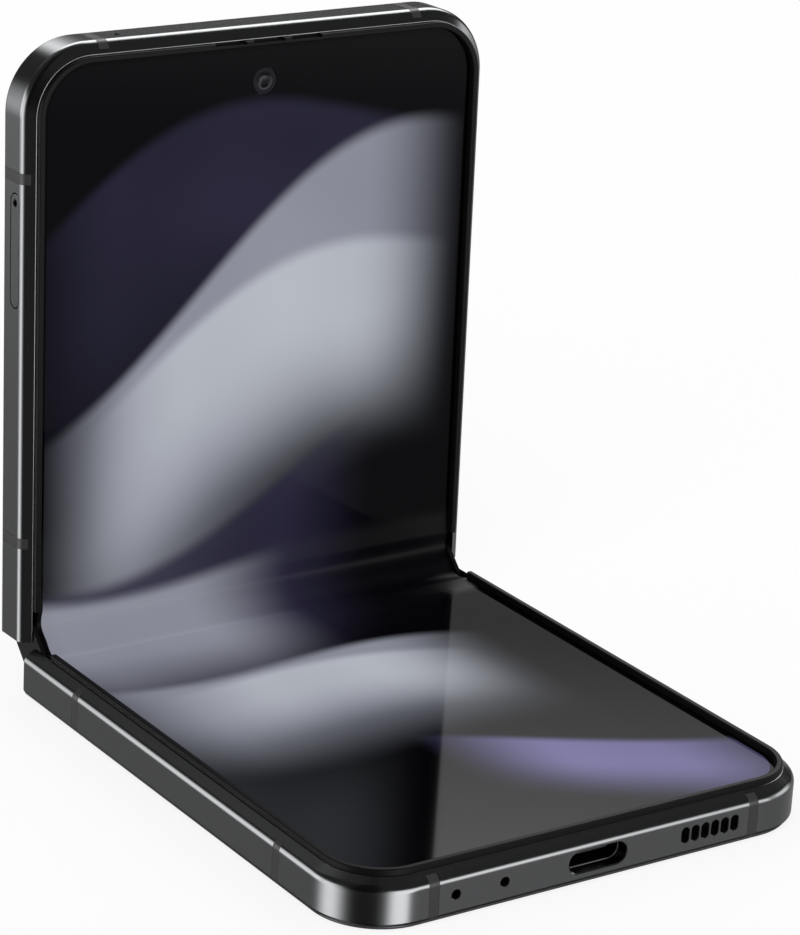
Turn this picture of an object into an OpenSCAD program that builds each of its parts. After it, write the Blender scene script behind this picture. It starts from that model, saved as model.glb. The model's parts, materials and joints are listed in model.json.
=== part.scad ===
// Foldable smartphone, half open: the lower half lies flat, the upper half stands up at the hinge.
// Each half is drawn flat, in the frame of the opened phone: y runs away from the user, 0 at the hinge line.
// The placing modules at the end of the Hidden section turn spine and upper half to the fold angle.

/* [Body] */
// Width of the phone
body_w = 71.9; // [64:0.1:80]
// Length of one half, from the hinge line to its free end
half_l = 82.55; // [76:0.05:95]
// Fold angle away from flat in the stored pose
fold_angle = 89; // [0:1:180]
// Radius of the outer corners, seen from the front
corner_r = 9.5; // [8.5:0.1:12]
// Height of the display rim above the back face
bezel_top = 7.45; // [7.3:0.05:7.6]
// Gap between the two rims of the closed phone
closed_gap = 0.2; // [0.1:0.05:0.3]

/* [Rails] */
// Thickness of a rail, outside to inside
rail_wall = 1.6; // [1.4:0.05:2]
// Height of the rail's front face above the back face
rail_top = 6.6; // [6.4:0.05:6.8]
// Radius of the rail's front outer edge
front_r = 1.6; // [0.8:0.05:1.6]
// Radius of the rail's rear outer edge
back_r = 0.55; // [0.3:0.05:0.8]
// Distance from the hinge line to the end of a rail
rail_end = 0.9; // [0.7:0.05:1.2]
// Thickness of the plate between display and components
midplate_t = 0.6; // [0.4:0.05:0.7]
// Thickness of the web that closes each half towards the hinge
web_t = 0.65; // [0.5:0.05:0.9]

/* [Antenna bands] */
// Width of a plastic antenna band
band_w = 1.5; // [1:0.1:2.5]
// Depth of a band into the rail
band_depth = 1.0; // [0.6:0.05:1.2]
// Distance of the bands near the hinge from the hinge line
band_near = 15.0; // [12:0.5:18]
// Distance of the bands near the free end from the hinge line
band_far = 65.2; // [64.6:0.1:67]
// Distance of the bands in the free end from the sides
band_end_inset = 11.55; // [11:0.05:12.5]

/* [Glass and display] */
// Thickness of the back glass
glass_t = 0.5; // [0.4:0.05:0.55]
// Distance of the back glass edge in from the outer face
glass_inset = 0.45; // [0.3:0.05:0.7]
// Width of the display rim
bezel_w = 0.82; // [0.7:0.01:0.9]
// Distance from the hinge line to the end of a display rim
bezel_end = 5.45; // [5.4:0.05:6]
// Height of the display surface above the back face
display_top = 6.5; // [6.48:0.01:6.55]
// Thickness of the folding display panel
panel_t = 0.35; // [0.3:0.01:0.36]
// Thickness of the metal plate under the flat stretches of the display
support_t = 0.28; // [0.2:0.01:0.3]
// Length of the bending stretch on each side of the hinge line
bend_half = 5.5; // [5.45:0.05:6]

/* [Hinge] */
// Outer radius of the hinge spine about each fold axis
spine_r = 4.55; // [4.45:0.05:4.6]
// Wall of the hinge spine
spine_wall = 0.5; // [0.4:0.05:0.55]
// Clearance between spine and the trough it turns in
spine_gap = 0.1; // [0.08:0.01:0.12]
// Angle by which the spine's edge ends below the fold axis
spine_lip_angle = 14; // [13:0.5:15]
// Gap between the folding display and the spine's end caps
cap_gap = 0.17; // [0.1:0.01:0.2]
// Thickness of a spine end cap
cap_t = 0.6; // [0.4:0.05:0.65]
// Radius of a hinge pin
pin_r = 0.30; // [0.25:0.01:0.32]
// Radial clearance of pins and gear journals in their bores
bore_gap = 0.03; // [0.02:0.005:0.06]
// Outer radius of the knuckles and lugs on the hinge pins
knuckle_r = 0.55; // [0.5:0.01:0.56]
// Distance of a hinge module's outer face from the spine's end cap
module_inset = 2.6; // [1:0.1:6]
// Teeth of a gear sector on a hinge arm
sector_teeth = 13; // [13:1:13]
// Teeth of an idler gear
idler_teeth = 17; // [17:1:17]
// Play between meshing teeth
backlash = 0.035; // [0.03:0.005:0.05]

/* [Ports and keys] */
// Height of the ports, bands' middle and keys above the back face
port_z = 3.2; // [3:0.05:3.4]
// Width of the USB-C opening
usb_w = 8.7; // [8.5:0.05:9]
// Height of the USB-C opening
usb_h = 2.9; // [2.7:0.05:3.2]
// Number of speaker slots
speaker_slots = 6; // [4:1:7]
// Spacing of the speaker slots
speaker_pitch = 1.565; // [1.4:0.005:1.7]
// Width of a speaker slot
speaker_slot_w = 1.15; // [0.8:0.05:1.2]
// Height of a speaker slot
speaker_slot_h = 2.1; // [1.6:0.05:2.4]
// Radius of an acoustic hole in the lower end
mic_r = 0.6; // [0.4:0.05:0.7]
// Length of the card tray's face along the rail
tray_l = 15.6; // [14:0.1:18]
// Height of the card tray's face
tray_h = 2.4; // [2:0.05:2.6]
// Distance of the card tray's middle from the hinge line
tray_v = 55.2; // [52:0.1:56]
// Radius of the hole for the tray's eject pin
eject_r = 0.45; // [0.35:0.05:0.5]
// Length of the volume rocker
volume_l = 17.6; // [15:0.1:19]
// Distance of the volume rocker's middle from the hinge line
volume_v = 51; // [48:0.5:53]
// Length of the side key
side_key_l = 13.4; // [11:0.1:15]
// Distance of the side key's middle from the hinge line
side_key_v = 30.5; // [28:0.5:33]
// Height of the keys
key_h = 2.3; // [1.8:0.05:2.5]
// Clearance round a key or tray face
key_gap = 0.12; // [0.1:0.01:0.2]
// How far the volume rocker stands proud of the rail
volume_proud = 0.35; // [0.2:0.05:0.5]
// How far the side key lies behind the rail's face
side_key_sunk = 0.1; // [0:0.05:0.3]

/* [Cameras and sound] */
// Distance of the front camera from the free end
front_cam_v = 7.45; // [7:0.05:8.5]
// Radius of the display's camera hole
front_cam_r = 1.9; // [1.5:0.05:2.2]
// Distance of the rear cameras from the free end
rear_cam_v = 10.0; // [9:0.1:11]
// Distance of the outer rear camera in from the right side
rear_cam_x = 10.0; // [9:0.1:11]
// Spacing of the rear cameras
rear_cam_pitch = 12.6; // [12:0.1:14]
// Outer radius of a rear camera ring
ring_r = 5.6; // [5:0.05:6]
// Height of a camera ring behind the back glass
ring_proud = 0.95; // [0.6:0.05:1.2]
// Length of one of the three earpiece slots
ear_slot_l = 4.9; // [4:0.1:5.5]
// Gap between earpiece slots
ear_slot_gap = 1.0; // [0.6:0.1:1.4]
// Depth of the earpiece slots across the rim
ear_slot_w = 0.35; // [0.25:0.05:0.45]

/* [Inner parts] */
// Clearance between inner parts that lie side by side
part_gap = 0.05; // [0.03:0.01:0.08]
// Width of the lower battery
lower_battery_w = 52; // [46:0.5:54]
// Length of the lower battery
lower_battery_l = 44; // [40:0.5:46]
// Width of the upper battery
upper_battery_w = 46; // [40:0.5:50]
// Length of the upper battery
upper_battery_l = 28; // [24:0.5:30]
// Thickness of the circuit boards
board_t = 0.55; // [0.4:0.05:0.6]
// Gap between the upper battery and the main board
battery_board_gap = 3; // [1:0.5:4]
// Width of a closing magnet
magnet_w = 2.15; // [1.5:0.05:2.5]
// Length of a closing magnet
magnet_l = 3.4; // [2.5:0.1:4]
// Width and length of the vibration motor
motor_w = 9; // [7:0.5:9.5]
// Outer radius of the charging coil
coil_r = 20; // [17:0.5:21]
// Radius of a screw's shank
screw_r = 0.6; // [0.5:0.05:0.7]
// Radius of a screw's head
screw_head_r = 1.1; // [0.9:0.05:1.3]

/* [Hidden] */
$fn = 64;
cut = 0.1; // overshoot of cutting solids
half_w = body_w / 2;
origin_y = half_l / 2;
half_fold = fold_angle / 2;
// Fold axes: half of the closed phone's thickness above the back face, less the axes' own spacing
closed_half = bezel_top + closed_gap / 2;
axis_y = 2.0;
axis_z = closed_half - axis_y;
trough_r = spine_r + spine_gap;
back_lip_end = 0.5; // hinge end of the back plate and glass
back_lip_t = axis_z - trough_r - glass_t; // metal over the glass under the spine
rail_bottom = glass_t;
panel_z = display_top - panel_t;
support_z = panel_z - support_t;
midplate_top = support_z;
midplate_z = midplate_top - midplate_t;
inner_w = half_w - rail_wall; // half the width between the rails
inner_end = half_l - rail_wall;
web_v = axis_y + trough_r; // where the trough is widest
inner_start = web_v + web_t; // components lie beyond this
bezel_out = rail_wall + part_gap; // distance of the rim's outer face in from the side
bezel_in = bezel_out + bezel_w;
panel_inset = bezel_in + part_gap;
panel_half = half_w - panel_inset;
spine_half = panel_half + cap_gap; // half length of the spine shell
module_x = spine_half - module_inset;
band_end_x = half_w - band_end_inset;
floor_z = glass_t + part_gap; // components rest above this
roof_z = midplate_z - part_gap; // and end below this
board_z = roof_z - board_t;

// Hinge modules, measured from a module's outer face towards the centre
plate_t = 1.0;
plate_x = [0, 2.3, 6.6, 11.6]; // outer faces of the four bracket plates
gear_x = [plate_t + 0.1, 2.2];
knuckle_x = [3.4, 6.5];
arm_x = [plate_t + 0.1, 12.6];
spring_x = [plate_x[2] + plate_t, plate_x[3]];
spring_count = 8;
spring_t = 0.35;
pin_end = plate_x[3] + plate_t;
arm_z = axis_z - spine_r * sin(spine_lip_angle) + spine_gap; // arms pass just over the spine's edge
arm_t = 0.6;
arm_reach = 13.2; // far end of the arm plates from the hinge line
arm_near = 0.9; // arm plates start this far outside the fold axis
root_near = 0.25; // bridges between knuckles and arm plates start here
spine_lip_z = axis_z - spine_r * sin(spine_lip_angle);

// Gear train: sectors on the fold axes, two idlers between and below them
sector_r = 1.05;
gear_module = 2 * sector_r / sector_teeth;
idler_r = gear_module * idler_teeth / 2;
mesh_angle = 75; // line of centres, below the line of the fold axes
train_reach = sector_r + idler_r;
idler_y = idler_r;
idler_drop = sqrt(train_reach * train_reach - (axis_y - idler_y) * (axis_y - idler_y));
sector_pitch = 360 / sector_teeth;
idler_pitch = 360 / idler_teeth;
line_angle = acos((axis_y - idler_y) / train_reach);
// a tooth of the lower sector points at its idler, whose gap faces it
lower_idler_phase = 180 - line_angle + idler_pitch / 2;
// teeth of the upper idler fill the gaps of the lower one across the centre line
upper_idler_phase = 180 - lower_idler_phase + idler_pitch / 2;
upper_turns = (180 + 180 - line_angle - 180 - upper_idler_phase) / idler_pitch;
upper_offset = (upper_turns - floor(upper_turns)) * idler_pitch; // of a tooth from the upper line
journal_r = 0.4;

// ---------- placing ----------

module turn_about(y, z, angle) {
    translate([0, y, z]) rotate([angle, 0, 0]) translate([0, -y, -z]) children();
}

module lower_place() {
    translate([0, origin_y, 0]) children();
}

module spine_place() {
    lower_place() turn_about(-axis_y, axis_z, half_fold) children();
}

module upper_place() {
    spine_place() turn_about(axis_y, axis_z, half_fold) children();
}

// lower-half parts drawn with their distance v from the hinge line as +y
module lower_v() {
    lower_place() mirror([0, 1, 0]) children();
}

module both_sides() {
    children();
    mirror([1, 0, 0]) children();
}

// ---------- shapes ----------

module block(x0, x1, v0, v1, z0, z1) {
    translate([x0, v0, z0]) cube([x1 - x0, v1 - v0, z1 - z0]);
}

// prism along x of an outline in the (y, z) plane
module along_x(x0, x1) {
    translate([x0, 0, 0]) rotate([90, 0, 90]) linear_extrude(x1 - x0) children();
}

module at_height(z0, z1) {
    translate([0, 0, z0]) linear_extrude(z1 - z0) children();
}

// outline of one half inset by d: square at v0, rounded at the free end
module half_outline(d, v0) {
    w = half_w - d;
    r = max(corner_r - d, 0.5);
    v1 = half_l - d;
    translate([-w, v0]) square([2 * w, v1 - r - v0]);
    translate([-w + r, v0]) square([2 * (w - r), v1 - v0]);
    both_sides() translate([w - r, v1 - r]) circle(r);
}

module slot_outline(l, w) {
    square([l - w, w], center = true);
    both_sides() translate([(l - w) / 2, 0]) circle(w / 2);
}

// slot through a wall that faces +y, from v0 to v1
module end_slot(x, z, l, w, v0, v1) {
    translate([x, v1, z]) rotate([90, 0, 0]) linear_extrude(v1 - v0) slot_outline(l, w);
}

// slot through a wall that faces x, from x0 to x1, long along y
module side_slot(v, z, l, w, x0, x1) {
    translate([x0, v, z]) rotate([90, 0, 90]) linear_extrude(x1 - x0) slot_outline(l, w);
}

// upright slot through a wall that faces +y
module upright_slot(x, z, l, w, v0, v1) {
    translate([x, v1, z]) rotate([90, 0, 0]) linear_extrude(v1 - v0) rotate(90) slot_outline(l, w);
}

// sweeps an outline (distance in from the outside, height) round the open U of one half
module sweep_half(v0) {
    both_sides() translate([-half_w, half_l - corner_r, 0]) rotate([90, 0, 0])
        linear_extrude(half_l - corner_r - v0) children();
    translate([half_w - corner_r, half_l, 0]) rotate([90, 0, -90])
        linear_extrude(2 * (half_w - corner_r)) children();
    both_sides() translate([half_w - corner_r, half_l - corner_r, 0])
        rotate_extrude(angle = 90) translate([corner_r, 0]) mirror([1, 0]) children();
}

// ---------- rails ----------

module rail_section() {
    difference() {
        translate([0, rail_bottom]) square([rail_wall, rail_top - rail_bottom]);
        difference() {
            translate([-cut, rail_top - front_r]) square(front_r + cut);
            translate([front_r, rail_top - front_r]) circle(front_r);
        }
        difference() {
            translate([-cut, rail_bottom - cut]) square(back_r + cut);
            translate([back_r, rail_bottom + back_r]) circle(back_r);
        }
    }
}

// boxes where the antenna bands are let into the rails
module band_spaces() {
    for (v = [band_near, band_far]) {
        both_sides() block(half_w - band_depth, half_w + cut, v - band_w / 2, v + band_w / 2, 0, rail_top + cut);
    }
    both_sides() block(band_end_x - band_w / 2, band_end_x + band_w / 2, half_l - band_depth,
        half_l + cut, 0, rail_top + cut);
}

module bands() {
    intersection() {
        sweep_half(rail_end) rail_section();
        band_spaces();
    }
}

// rails, plate under the display, web and lip towards the hinge
module half_frame(board_screws) {
    difference() {
        union() {
            sweep_half(rail_end) rail_section();
            at_height(midplate_z, midplate_top) half_outline(rail_wall - cut, web_v - web_t);
            block(-inner_w - cut, inner_w + cut, back_lip_end, inner_start, glass_t, midplate_z + cut);
        }
        trough_space();
        band_spaces();
        both_sides() block(module_x - arm_x[1] - part_gap, module_x - arm_x[0] + part_gap,
            web_v - web_t - cut, inner_start + cut, arm_z, midplate_z);
        for (p = concat(arm_screws, board_screws)) translate([p[0], p[1], midplate_z - cut])
            cylinder(h = 1, r = screw_r + part_gap);
    }
}

// room that the spine turns in: drums about the fold axis and the flat between them
module trough_space() {
    block(-inner_w, inner_w, -cut, axis_y, axis_z - trough_r, bezel_top);
    along_x(-inner_w, inner_w) translate([axis_y, axis_z]) circle(trough_r);
}

arm_screw_inset = [3.5, 9.5]; // from the hinge module's outer face
arm_screw_v = 11;
arm_screws = [for (side = [-1, 1], inset = arm_screw_inset) [side * (module_x - inset), arm_screw_v]];
side_screw_x = inner_w - 4.75;
lower_board_screw_v = half_l - 12.55;
lower_board_screws = [[side_screw_x, lower_board_screw_v], [-13, lower_board_screw_v]];
upper_board_screw_v = half_l - 25.05;
upper_board_screws = [[side_screw_x, upper_board_screw_v], [18.35 - inner_w, upper_board_screw_v]];

module half_bezel() {
    sweep_half(bezel_end) translate([bezel_out, midplate_top]) bezel_section();
}

// rim with both upper edges rounded
module bezel_section() {
    h = bezel_top - midplate_top;
    r = 0.22;
    difference() {
        square([bezel_w, h]);
        for (side = [0, 1]) translate([side * bezel_w, 0]) mirror([side, 0]) difference() {
            translate([-cut, h - r]) square(r + cut);
            translate([r, h - r]) circle(r);
        }
    }
}

module half_glass() {
    at_height(0, glass_t) half_outline(glass_inset, back_lip_end);
}

// screws through arms and board into the plate, heads to the back
module half_screws(board_screws) {
    for (p = arm_screws) translate([p[0], p[1], 0]) screw(arm_z);
    for (p = board_screws) translate([p[0], p[1], 0]) screw(board_z);
}

module screw(seat) {
    translate([0, 0, seat - screw_head_t]) cylinder(h = screw_head_t, r = screw_head_r);
    translate([0, 0, seat - screw_head_t]) cylinder(h = midplate_top - seat + screw_head_t, r = screw_r);
}

module screw_holes(board_screws) {
    for (p = board_screws) translate([p[0], p[1], board_z - cut]) cylinder(h = 1, r = screw_r + part_gap);
}

screw_head_t = 0.5;

// ---------- lower half ----------

module lower_frame() {
    color("dimgray") lower_v() difference() {
        half_frame(lower_board_screws);
        end_slot(0, port_z, usb_w, usb_h, inner_end - cut, half_l + cut);
        speaker_cut(inner_end - cut, half_l + cut, 0);
        for (x = mic_x) translate([x, half_l + cut, port_z]) rotate([90, 0, 0])
            cylinder(h = rail_wall + 2 * cut, r = mic_r);
    }
}

mic_x = [-(band_end_x - 3.2), -(band_end_x - 10.35)];
speaker_x = band_end_x - 6.9;

module speaker_cut(v0, v1, grow) {
    for (i = [0 : speaker_slots - 1]) {
        x = speaker_x + (i - (speaker_slots - 1) / 2) * speaker_pitch;
        upright_slot(x, port_z, speaker_slot_h + grow, speaker_slot_w + grow, v0, v1);
    }
}

module lower_antenna_bands() {
    color("darkslategray") lower_v() bands();
}

module lower_back_glass() {
    color("darkslategray") lower_v() half_glass();
}

module lower_bezel() {
    color("#202224") lower_v() half_bezel();
}

module lower_display() {
    color("#151518") lower_v() at_height(panel_z, display_top) half_outline(panel_inset, bend_half);
}

module lower_display_plate() {
    color("silver") lower_v() at_height(support_z, panel_z) half_outline(panel_inset, bend_half + part_gap);
}

battery_v = 14;

module lower_battery() {
    w = lower_battery_w / 2;
    color("#303236") lower_v() block(-w, w, battery_v, battery_v + lower_battery_l, coil_top + part_gap, roof_z);
}

coil_t = 0.25;
coil_top = floor_z + coil_t;
coil_inner_r = 11;
coil_v = battery_v + lower_battery_l / 2;

// flat winding between back glass and battery
module charging_coil() {
    color("peru") lower_v() translate([0, coil_v, glass_t]) difference() {
        cylinder(h = coil_top - glass_t, r = coil_r);
        translate([0, 0, -cut]) cylinder(h = 1, r = coil_inner_r);
    }
}

usb_depth = 6.5; // inside depth of the socket
usb_shell_t = 0.3;
usb_mouth_w = 8.34;
usb_mouth_h = 2.56;
usb_back = inner_end - part_gap - usb_depth - usb_shell_t;
lower_board_v = 64;

// board across the free end, its corners rounded like the rail's inside
module end_board(v0) {
    intersection() {
        at_height(board_z, roof_z) half_outline(rail_wall + part_gap, v0);
        block(-half_w, half_w, v0, half_l, 0, rail_top);
    }
}

// socket board, notched for the socket
module lower_board() {
    notch = usb_mouth_w / 2 + usb_shell_t + 0.2;
    color("darkgreen") lower_v() difference() {
        end_board(lower_board_v);
        block(-notch, notch, usb_back - 0.2, half_l, 0, rail_top);
        screw_holes(lower_board_screws);
    }
}

module usb_shell() {
    color("silver") lower_v() difference() {
        end_slot(0, port_z, usb_mouth_w + 2 * usb_shell_t, usb_mouth_h + 2 * usb_shell_t,
            usb_back, inner_end - part_gap);
        end_slot(0, port_z, usb_mouth_w, usb_mouth_h, usb_back + usb_shell_t, inner_end + cut);
    }
}

module usb_tongue() {
    v0 = usb_back + usb_shell_t;
    color("#202020") lower_v() {
        end_slot(0, port_z, usb_mouth_w - 0.1, usb_mouth_h - 0.1, v0, v0 + 0.8);
        block(-3.35, 3.35, v0 + 0.7, v0 + 5.6, port_z - 0.35, port_z + 0.35);
    }
}

speaker_half = 9.2;

module loudspeaker() {
    top = board_z - part_gap;
    color("#26282a") lower_v() difference() {
        block(speaker_x - speaker_half, speaker_x + speaker_half, lower_board_v + 1,
            inner_end - mesh_t - 2 * part_gap, glass_t, top);
        // sound chamber, open towards the slots
        block(speaker_x - speaker_half + 2.4, speaker_x + speaker_half - 2.4, inner_end - 4,
            inner_end, port_z - 1.25, port_z + 1.25);
    }
}

mesh_t = 0.2;

module speaker_mesh() {
    color("dimgray") lower_v() end_slot(speaker_x, port_z, speaker_slots * speaker_pitch + 1.2, 2.6,
        inner_end - mesh_t - part_gap, inner_end - part_gap);
}

motor_gap = 1.2; // between magnet and motor
motor_lid = 0.8; // step between the motor's case and its round cover

module vibration_motor() {
    x = -(inner_w - magnet_w - motor_gap - motor_w / 2);
    v = lower_board_v + 1 + motor_w / 2;
    color("lightgray") lower_v() {
        block(x - motor_w / 2, x + motor_w / 2, v - motor_w / 2, v + motor_w / 2, glass_t, board_z - motor_lid);
        translate([x, v, glass_t]) cylinder(h = board_z - glass_t - part_gap, r = motor_w / 2 - motor_lid);
    }
}

// sound inlets behind the two holes in the lower end
module bottom_microphones() {
    color("gold") lower_v() for (x = mic_x) difference() {
        block(x - 1.5, x + 1.5, inner_end - 2.6, inner_end - part_gap, port_z - 1.1, board_z - part_gap);
        translate([x, inner_end, port_z]) rotate([90, 0, 0]) cylinder(h = 1.2, r = mic_r * 0.8);
    }
}

module lower_screws() {
    color("silver") lower_v() half_screws(lower_board_screws);
}

magnet_v = half_l - 15.55;

// closing magnets beside the boards
module half_magnets(v0) {
    both_sides() block(inner_w - part_gap - magnet_w, inner_w - part_gap, v0, v0 + magnet_l,
        board_z - part_gap - magnet_l, board_z - part_gap);
}

module lower_magnets() {
    color("slategray") lower_v() half_magnets(magnet_v);
}

// ---------- hinge ----------

// flank angle of an involute tooth at radius rho, from the tooth's middle
function involute(a) = tan(a) * 180 / PI - a;
function flank(rho, r, teeth) =
    let (base = r * cos(20))
    90 / teeth - backlash / r * 90 / PI + involute(20) - involute(acos(min(1, base / max(rho, base))));
function polar(r, a) = [r * cos(a), r * sin(a)];

module gear_outline(teeth, r, phase) {
    tip = r + 0.92 * gear_module;
    root = r - 1.22 * gear_module;
    radii = [root, r * cos(20) + 0.01, r, (r + tip) / 2, tip];
    polygon([for (i = [0 : teeth - 1]) each concat(
        [for (k = [0 : 4]) polar(radii[k], phase + i * 360 / teeth - flank(radii[k], r, teeth))],
        [for (k = [4 : -1 : 0]) polar(radii[k], phase + i * 360 / teeth + flank(radii[k], r, teeth))])]);
}

// toothed sector: teeth only where they mesh over the whole fold
module sector_outline(phase, from, to) {
    far = 3;
    circle(knuckle_r);
    intersection() {
        gear_outline(sector_teeth, sector_r, phase);
        polygon(concat([[0, 0]], [for (k = [0 : 4]) polar(far, from + (to - from) * k / 4)]));
    }
}

// one arm in the lower half's frame; tooth_phase and side steer the gear sector
module arm(side, tooth_phase) {
    sector_low = line_angle + 40;
    sector_high = 90 - line_angle + 10;
    from = side < 0 ? -sector_low : 180 - sector_high;
    to = side < 0 ? sector_high : 180 + sector_low;
    a = side * axis_y;
    translate([module_x, 0, 0]) mirror([1, 0, 0]) {
        difference() {
            union() {
                along_x(gear_x[0], gear_x[1]) translate([a, axis_z]) sector_outline(tooth_phase, from, to);
                along_x(knuckle_x[0], knuckle_x[1]) translate([a, axis_z]) circle(knuckle_r);
                for (span = [gear_x, knuckle_x]) along_x(span[0], span[1]) arm_root(side, a);
                along_x(arm_x[0], arm_x[1]) arm_plate(side, a);
            }
            along_x(0, pin_end) translate([a, axis_z]) circle(pin_r + bore_gap);
            for (inset = arm_screw_inset) translate([inset, side * arm_screw_v, arm_z - cut])
                cylinder(h = 1, r = screw_r + part_gap);
        }
    }
}

// bridge from a knuckle to the arm plate
module arm_root(side, a) {
    l = arm_near + cut - root_near;
    y0 = side < 0 ? a - arm_near - cut : a + root_near;
    translate([y0, arm_z]) square([l, arm_t]);
}

module arm_plate(side, a) {
    y0 = side < 0 ? -arm_reach : a + arm_near;
    translate([y0, arm_z]) square([arm_reach - axis_y - arm_near, arm_t]);
}

lower_sector_phase = -line_angle + half_fold;
upper_sector_phase = 180 + line_angle - upper_offset * idler_teeth / sector_teeth - half_fold;

module lower_hinge_arms() {
    color("silver") lower_place() both_sides() arm(-1, lower_sector_phase);
}

module upper_hinge_arms() {
    color("silver") upper_place() both_sides() arm(1, upper_sector_phase);
}

// cross-section of the spine with its outside at radius r, cut off at height top
module spine_outline(r, top) {
    intersection() {
        union() {
            for (s = [-1, 1]) translate([s * axis_y, axis_z]) circle(r);
            translate([-axis_y, axis_z - r]) square([2 * axis_y, 2 * r]);
        }
        translate([-10, axis_z - 10]) square([20, 10 + top - axis_z]);
    }
}

module hinge_spine_cover() {
    color("#4c5054") spine_place() along_x(-spine_half, spine_half) difference() {
        spine_outline(spine_r, spine_lip_z);
        spine_outline(spine_r - spine_wall, spine_lip_z + cut);
    }
}

cap_r = 1.15; // rounding of a cap's upper corners about the fold axes

module hinge_end_caps() {
    color("#34373a") spine_place() both_sides() along_x(spine_half, spine_half + cap_t) {
        spine_outline(spine_r, spine_lip_z);
        translate([-axis_y - cap_r, spine_lip_z - cut]) square([2 * (axis_y + cap_r), axis_z - spine_lip_z + cut]);
        for (s = [-1, 1]) translate([s * axis_y, axis_z]) circle(cap_r);
        translate([-axis_y, axis_z]) square([2 * axis_y, cap_r]);
    }
}

spine_floor = axis_z - spine_r + spine_wall;
bracket_top = 0.15; // height of the brackets' top above the fold axes

module bracket_section() {
    for (s = [-1, 1]) translate([s * axis_y, axis_z]) circle(knuckle_r);
    translate([-axis_y, axis_z - 0.9]) square([2 * axis_y, 0.9 + bracket_top]);
    translate([-axis_y - 0.2, spine_floor]) square([2 * axis_y + 0.4, axis_z - 0.4 - spine_floor]);
}

// bearing plates joined by a beam along the middle of the spine
module hinge_brackets() {
    color("gray") spine_place() both_sides() translate([module_x, 0, 0]) mirror([1, 0, 0]) difference() {
        union() {
            for (x = plate_x) along_x(x, x + plate_t) bracket_section();
            along_x(0, pin_end) translate([-0.4, axis_z - 0.95]) square([0.8, 0.95 + bracket_top]);
        }
        for (s = [-1, 1]) {
            along_x(-cut, pin_end + cut) translate([s * axis_y, axis_z]) circle(pin_r + bore_gap);
            along_x(-cut, gear_x[1] + plate_t + 0.2) translate([s * idler_y, axis_z - idler_drop])
                circle(journal_r + bore_gap);
        }
    }
}

module hinge_pins() {
    color("lightgray") spine_place() both_sides() for (s = [-1, 1])
        along_x(module_x - pin_end, module_x) translate([s * axis_y, axis_z]) circle(pin_r);
}

// washers squeezed between two bracket plates hold the fold where it is put
module friction_springs() {
    pitch = (spring_x[1] - spring_x[0]) / spring_count;
    color("goldenrod") spine_place() both_sides() for (s = [-1, 1], i = [0 : spring_count - 1])
        along_x(module_x - spring_x[0] - (i + 0.5) * pitch - spring_t / 2,
            module_x - spring_x[0] - (i + 0.5) * pitch + spring_t / 2)
            translate([s * axis_y, axis_z]) difference() {
                circle(knuckle_r - 0.03);
                circle(pin_r + bore_gap);
            }
}

// strip under the fold, on the brackets and on two feet
module hinge_center_plate() {
    top = panel_z - 0.05;
    color("silver") spine_place() {
        along_x(-spine_half + 0.2, spine_half - 0.2)
            translate([-0.7, axis_z + bracket_top]) square([1.4, top - axis_z - bracket_top]);
        both_sides() along_x(11.5, 14) translate([-0.7, spine_floor]) square([1.4, axis_z + bracket_top - spine_floor]);
    }
}

flex_t = 0.15;

// flexible circuit where it lies in the spine
module hinge_flex() {
    color("darkorange") spine_place() along_x(-9, -1) translate([-axis_y, spine_floor]) square([2 * axis_y, flex_t]);
}

// point of the bent display at flat distance s from the hinge line and height h, in the spine's frame
function ease(u) = u * u * (3 - 2 * u);
function fold_point(s, h) =
    let (turn = -(1 - ease(1 - s / bend_half)) * half_fold, dy = axis_y - s, dz = h - axis_z)
    [dy * cos(turn) - dz * sin(turn) - axis_y, dy * sin(turn) + dz * cos(turn) + axis_z];
fold_steps = 12;
function fold_side(h) = [for (i = [0 : fold_steps]) fold_point(bend_half * (1 - i / fold_steps), h)];
function mirrored(points) = [for (i = [len(points) - 2 : -1 : 0]) [-points[i][0], points[i][1]]];
function backwards(points) = [for (i = [len(points) - 1 : -1 : 0]) points[i]];

module fold_display() {
    upper_face = concat(fold_side(display_top), mirrored(fold_side(display_top)));
    under_face = concat(fold_side(panel_z), mirrored(fold_side(panel_z)));
    color("#151518") spine_place() along_x(-panel_half, panel_half)
        polygon(concat(upper_face, backwards(under_face)));
}

// gear with a journal on each side, turning in the two outer bracket plates
module idler(s, phase) {
    color("silver") spine_place() both_sides() translate([module_x, 0, 0]) mirror([1, 0, 0])
        translate([0, s * idler_y, axis_z - idler_drop]) {
            along_x(gear_x[0], gear_x[1]) gear_outline(idler_teeth, idler_r, phase);
            along_x(0.1, gear_x[1] + plate_t) circle(journal_r);
        }
}

module idler_gears_lower() {
    idler(-1, lower_idler_phase);
}

module idler_gears_upper() {
    idler(1, upper_idler_phase);
}

// ---------- upper half ----------

tray_z = 3.75;

module upper_frame() {
    cam_v = half_l - front_cam_v;
    color("dimgray") upper_place() difference() {
        half_frame(upper_board_screws);
        // openings for tray and keys
        side_slot(tray_v, tray_z, tray_l, tray_h, -half_w - cut, -inner_w + cut);
        side_slot(volume_v, port_z, volume_l, key_h, inner_w - cut, half_w + cut);
        side_slot(side_key_v, port_z, side_key_l, key_h, inner_w - cut, half_w + cut);
        // front camera
        translate([0, cam_v, midplate_z - cut]) cylinder(h = 2, r = front_cam_r);
        // microphone hole in the free end
        translate([top_mic_x, half_l + cut, port_z]) rotate([90, 0, 0]) cylinder(h = rail_wall + 2 * cut, r = 0.35);
        // sound duct of the earpiece
        block(-ear_half, ear_half, inner_end - duct_w - part_gap, inner_end - part_gap, midplate_z - cut,
            midplate_top + cut);
    }
}

top_mic_x = -20.95;
ear_half = (3 * ear_slot_l + 2 * ear_slot_gap) / 2;
duct_w = 0.6; // width of the sound duct under the rim

module upper_antenna_bands() {
    color("darkslategray") upper_place() bands();
}

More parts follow.
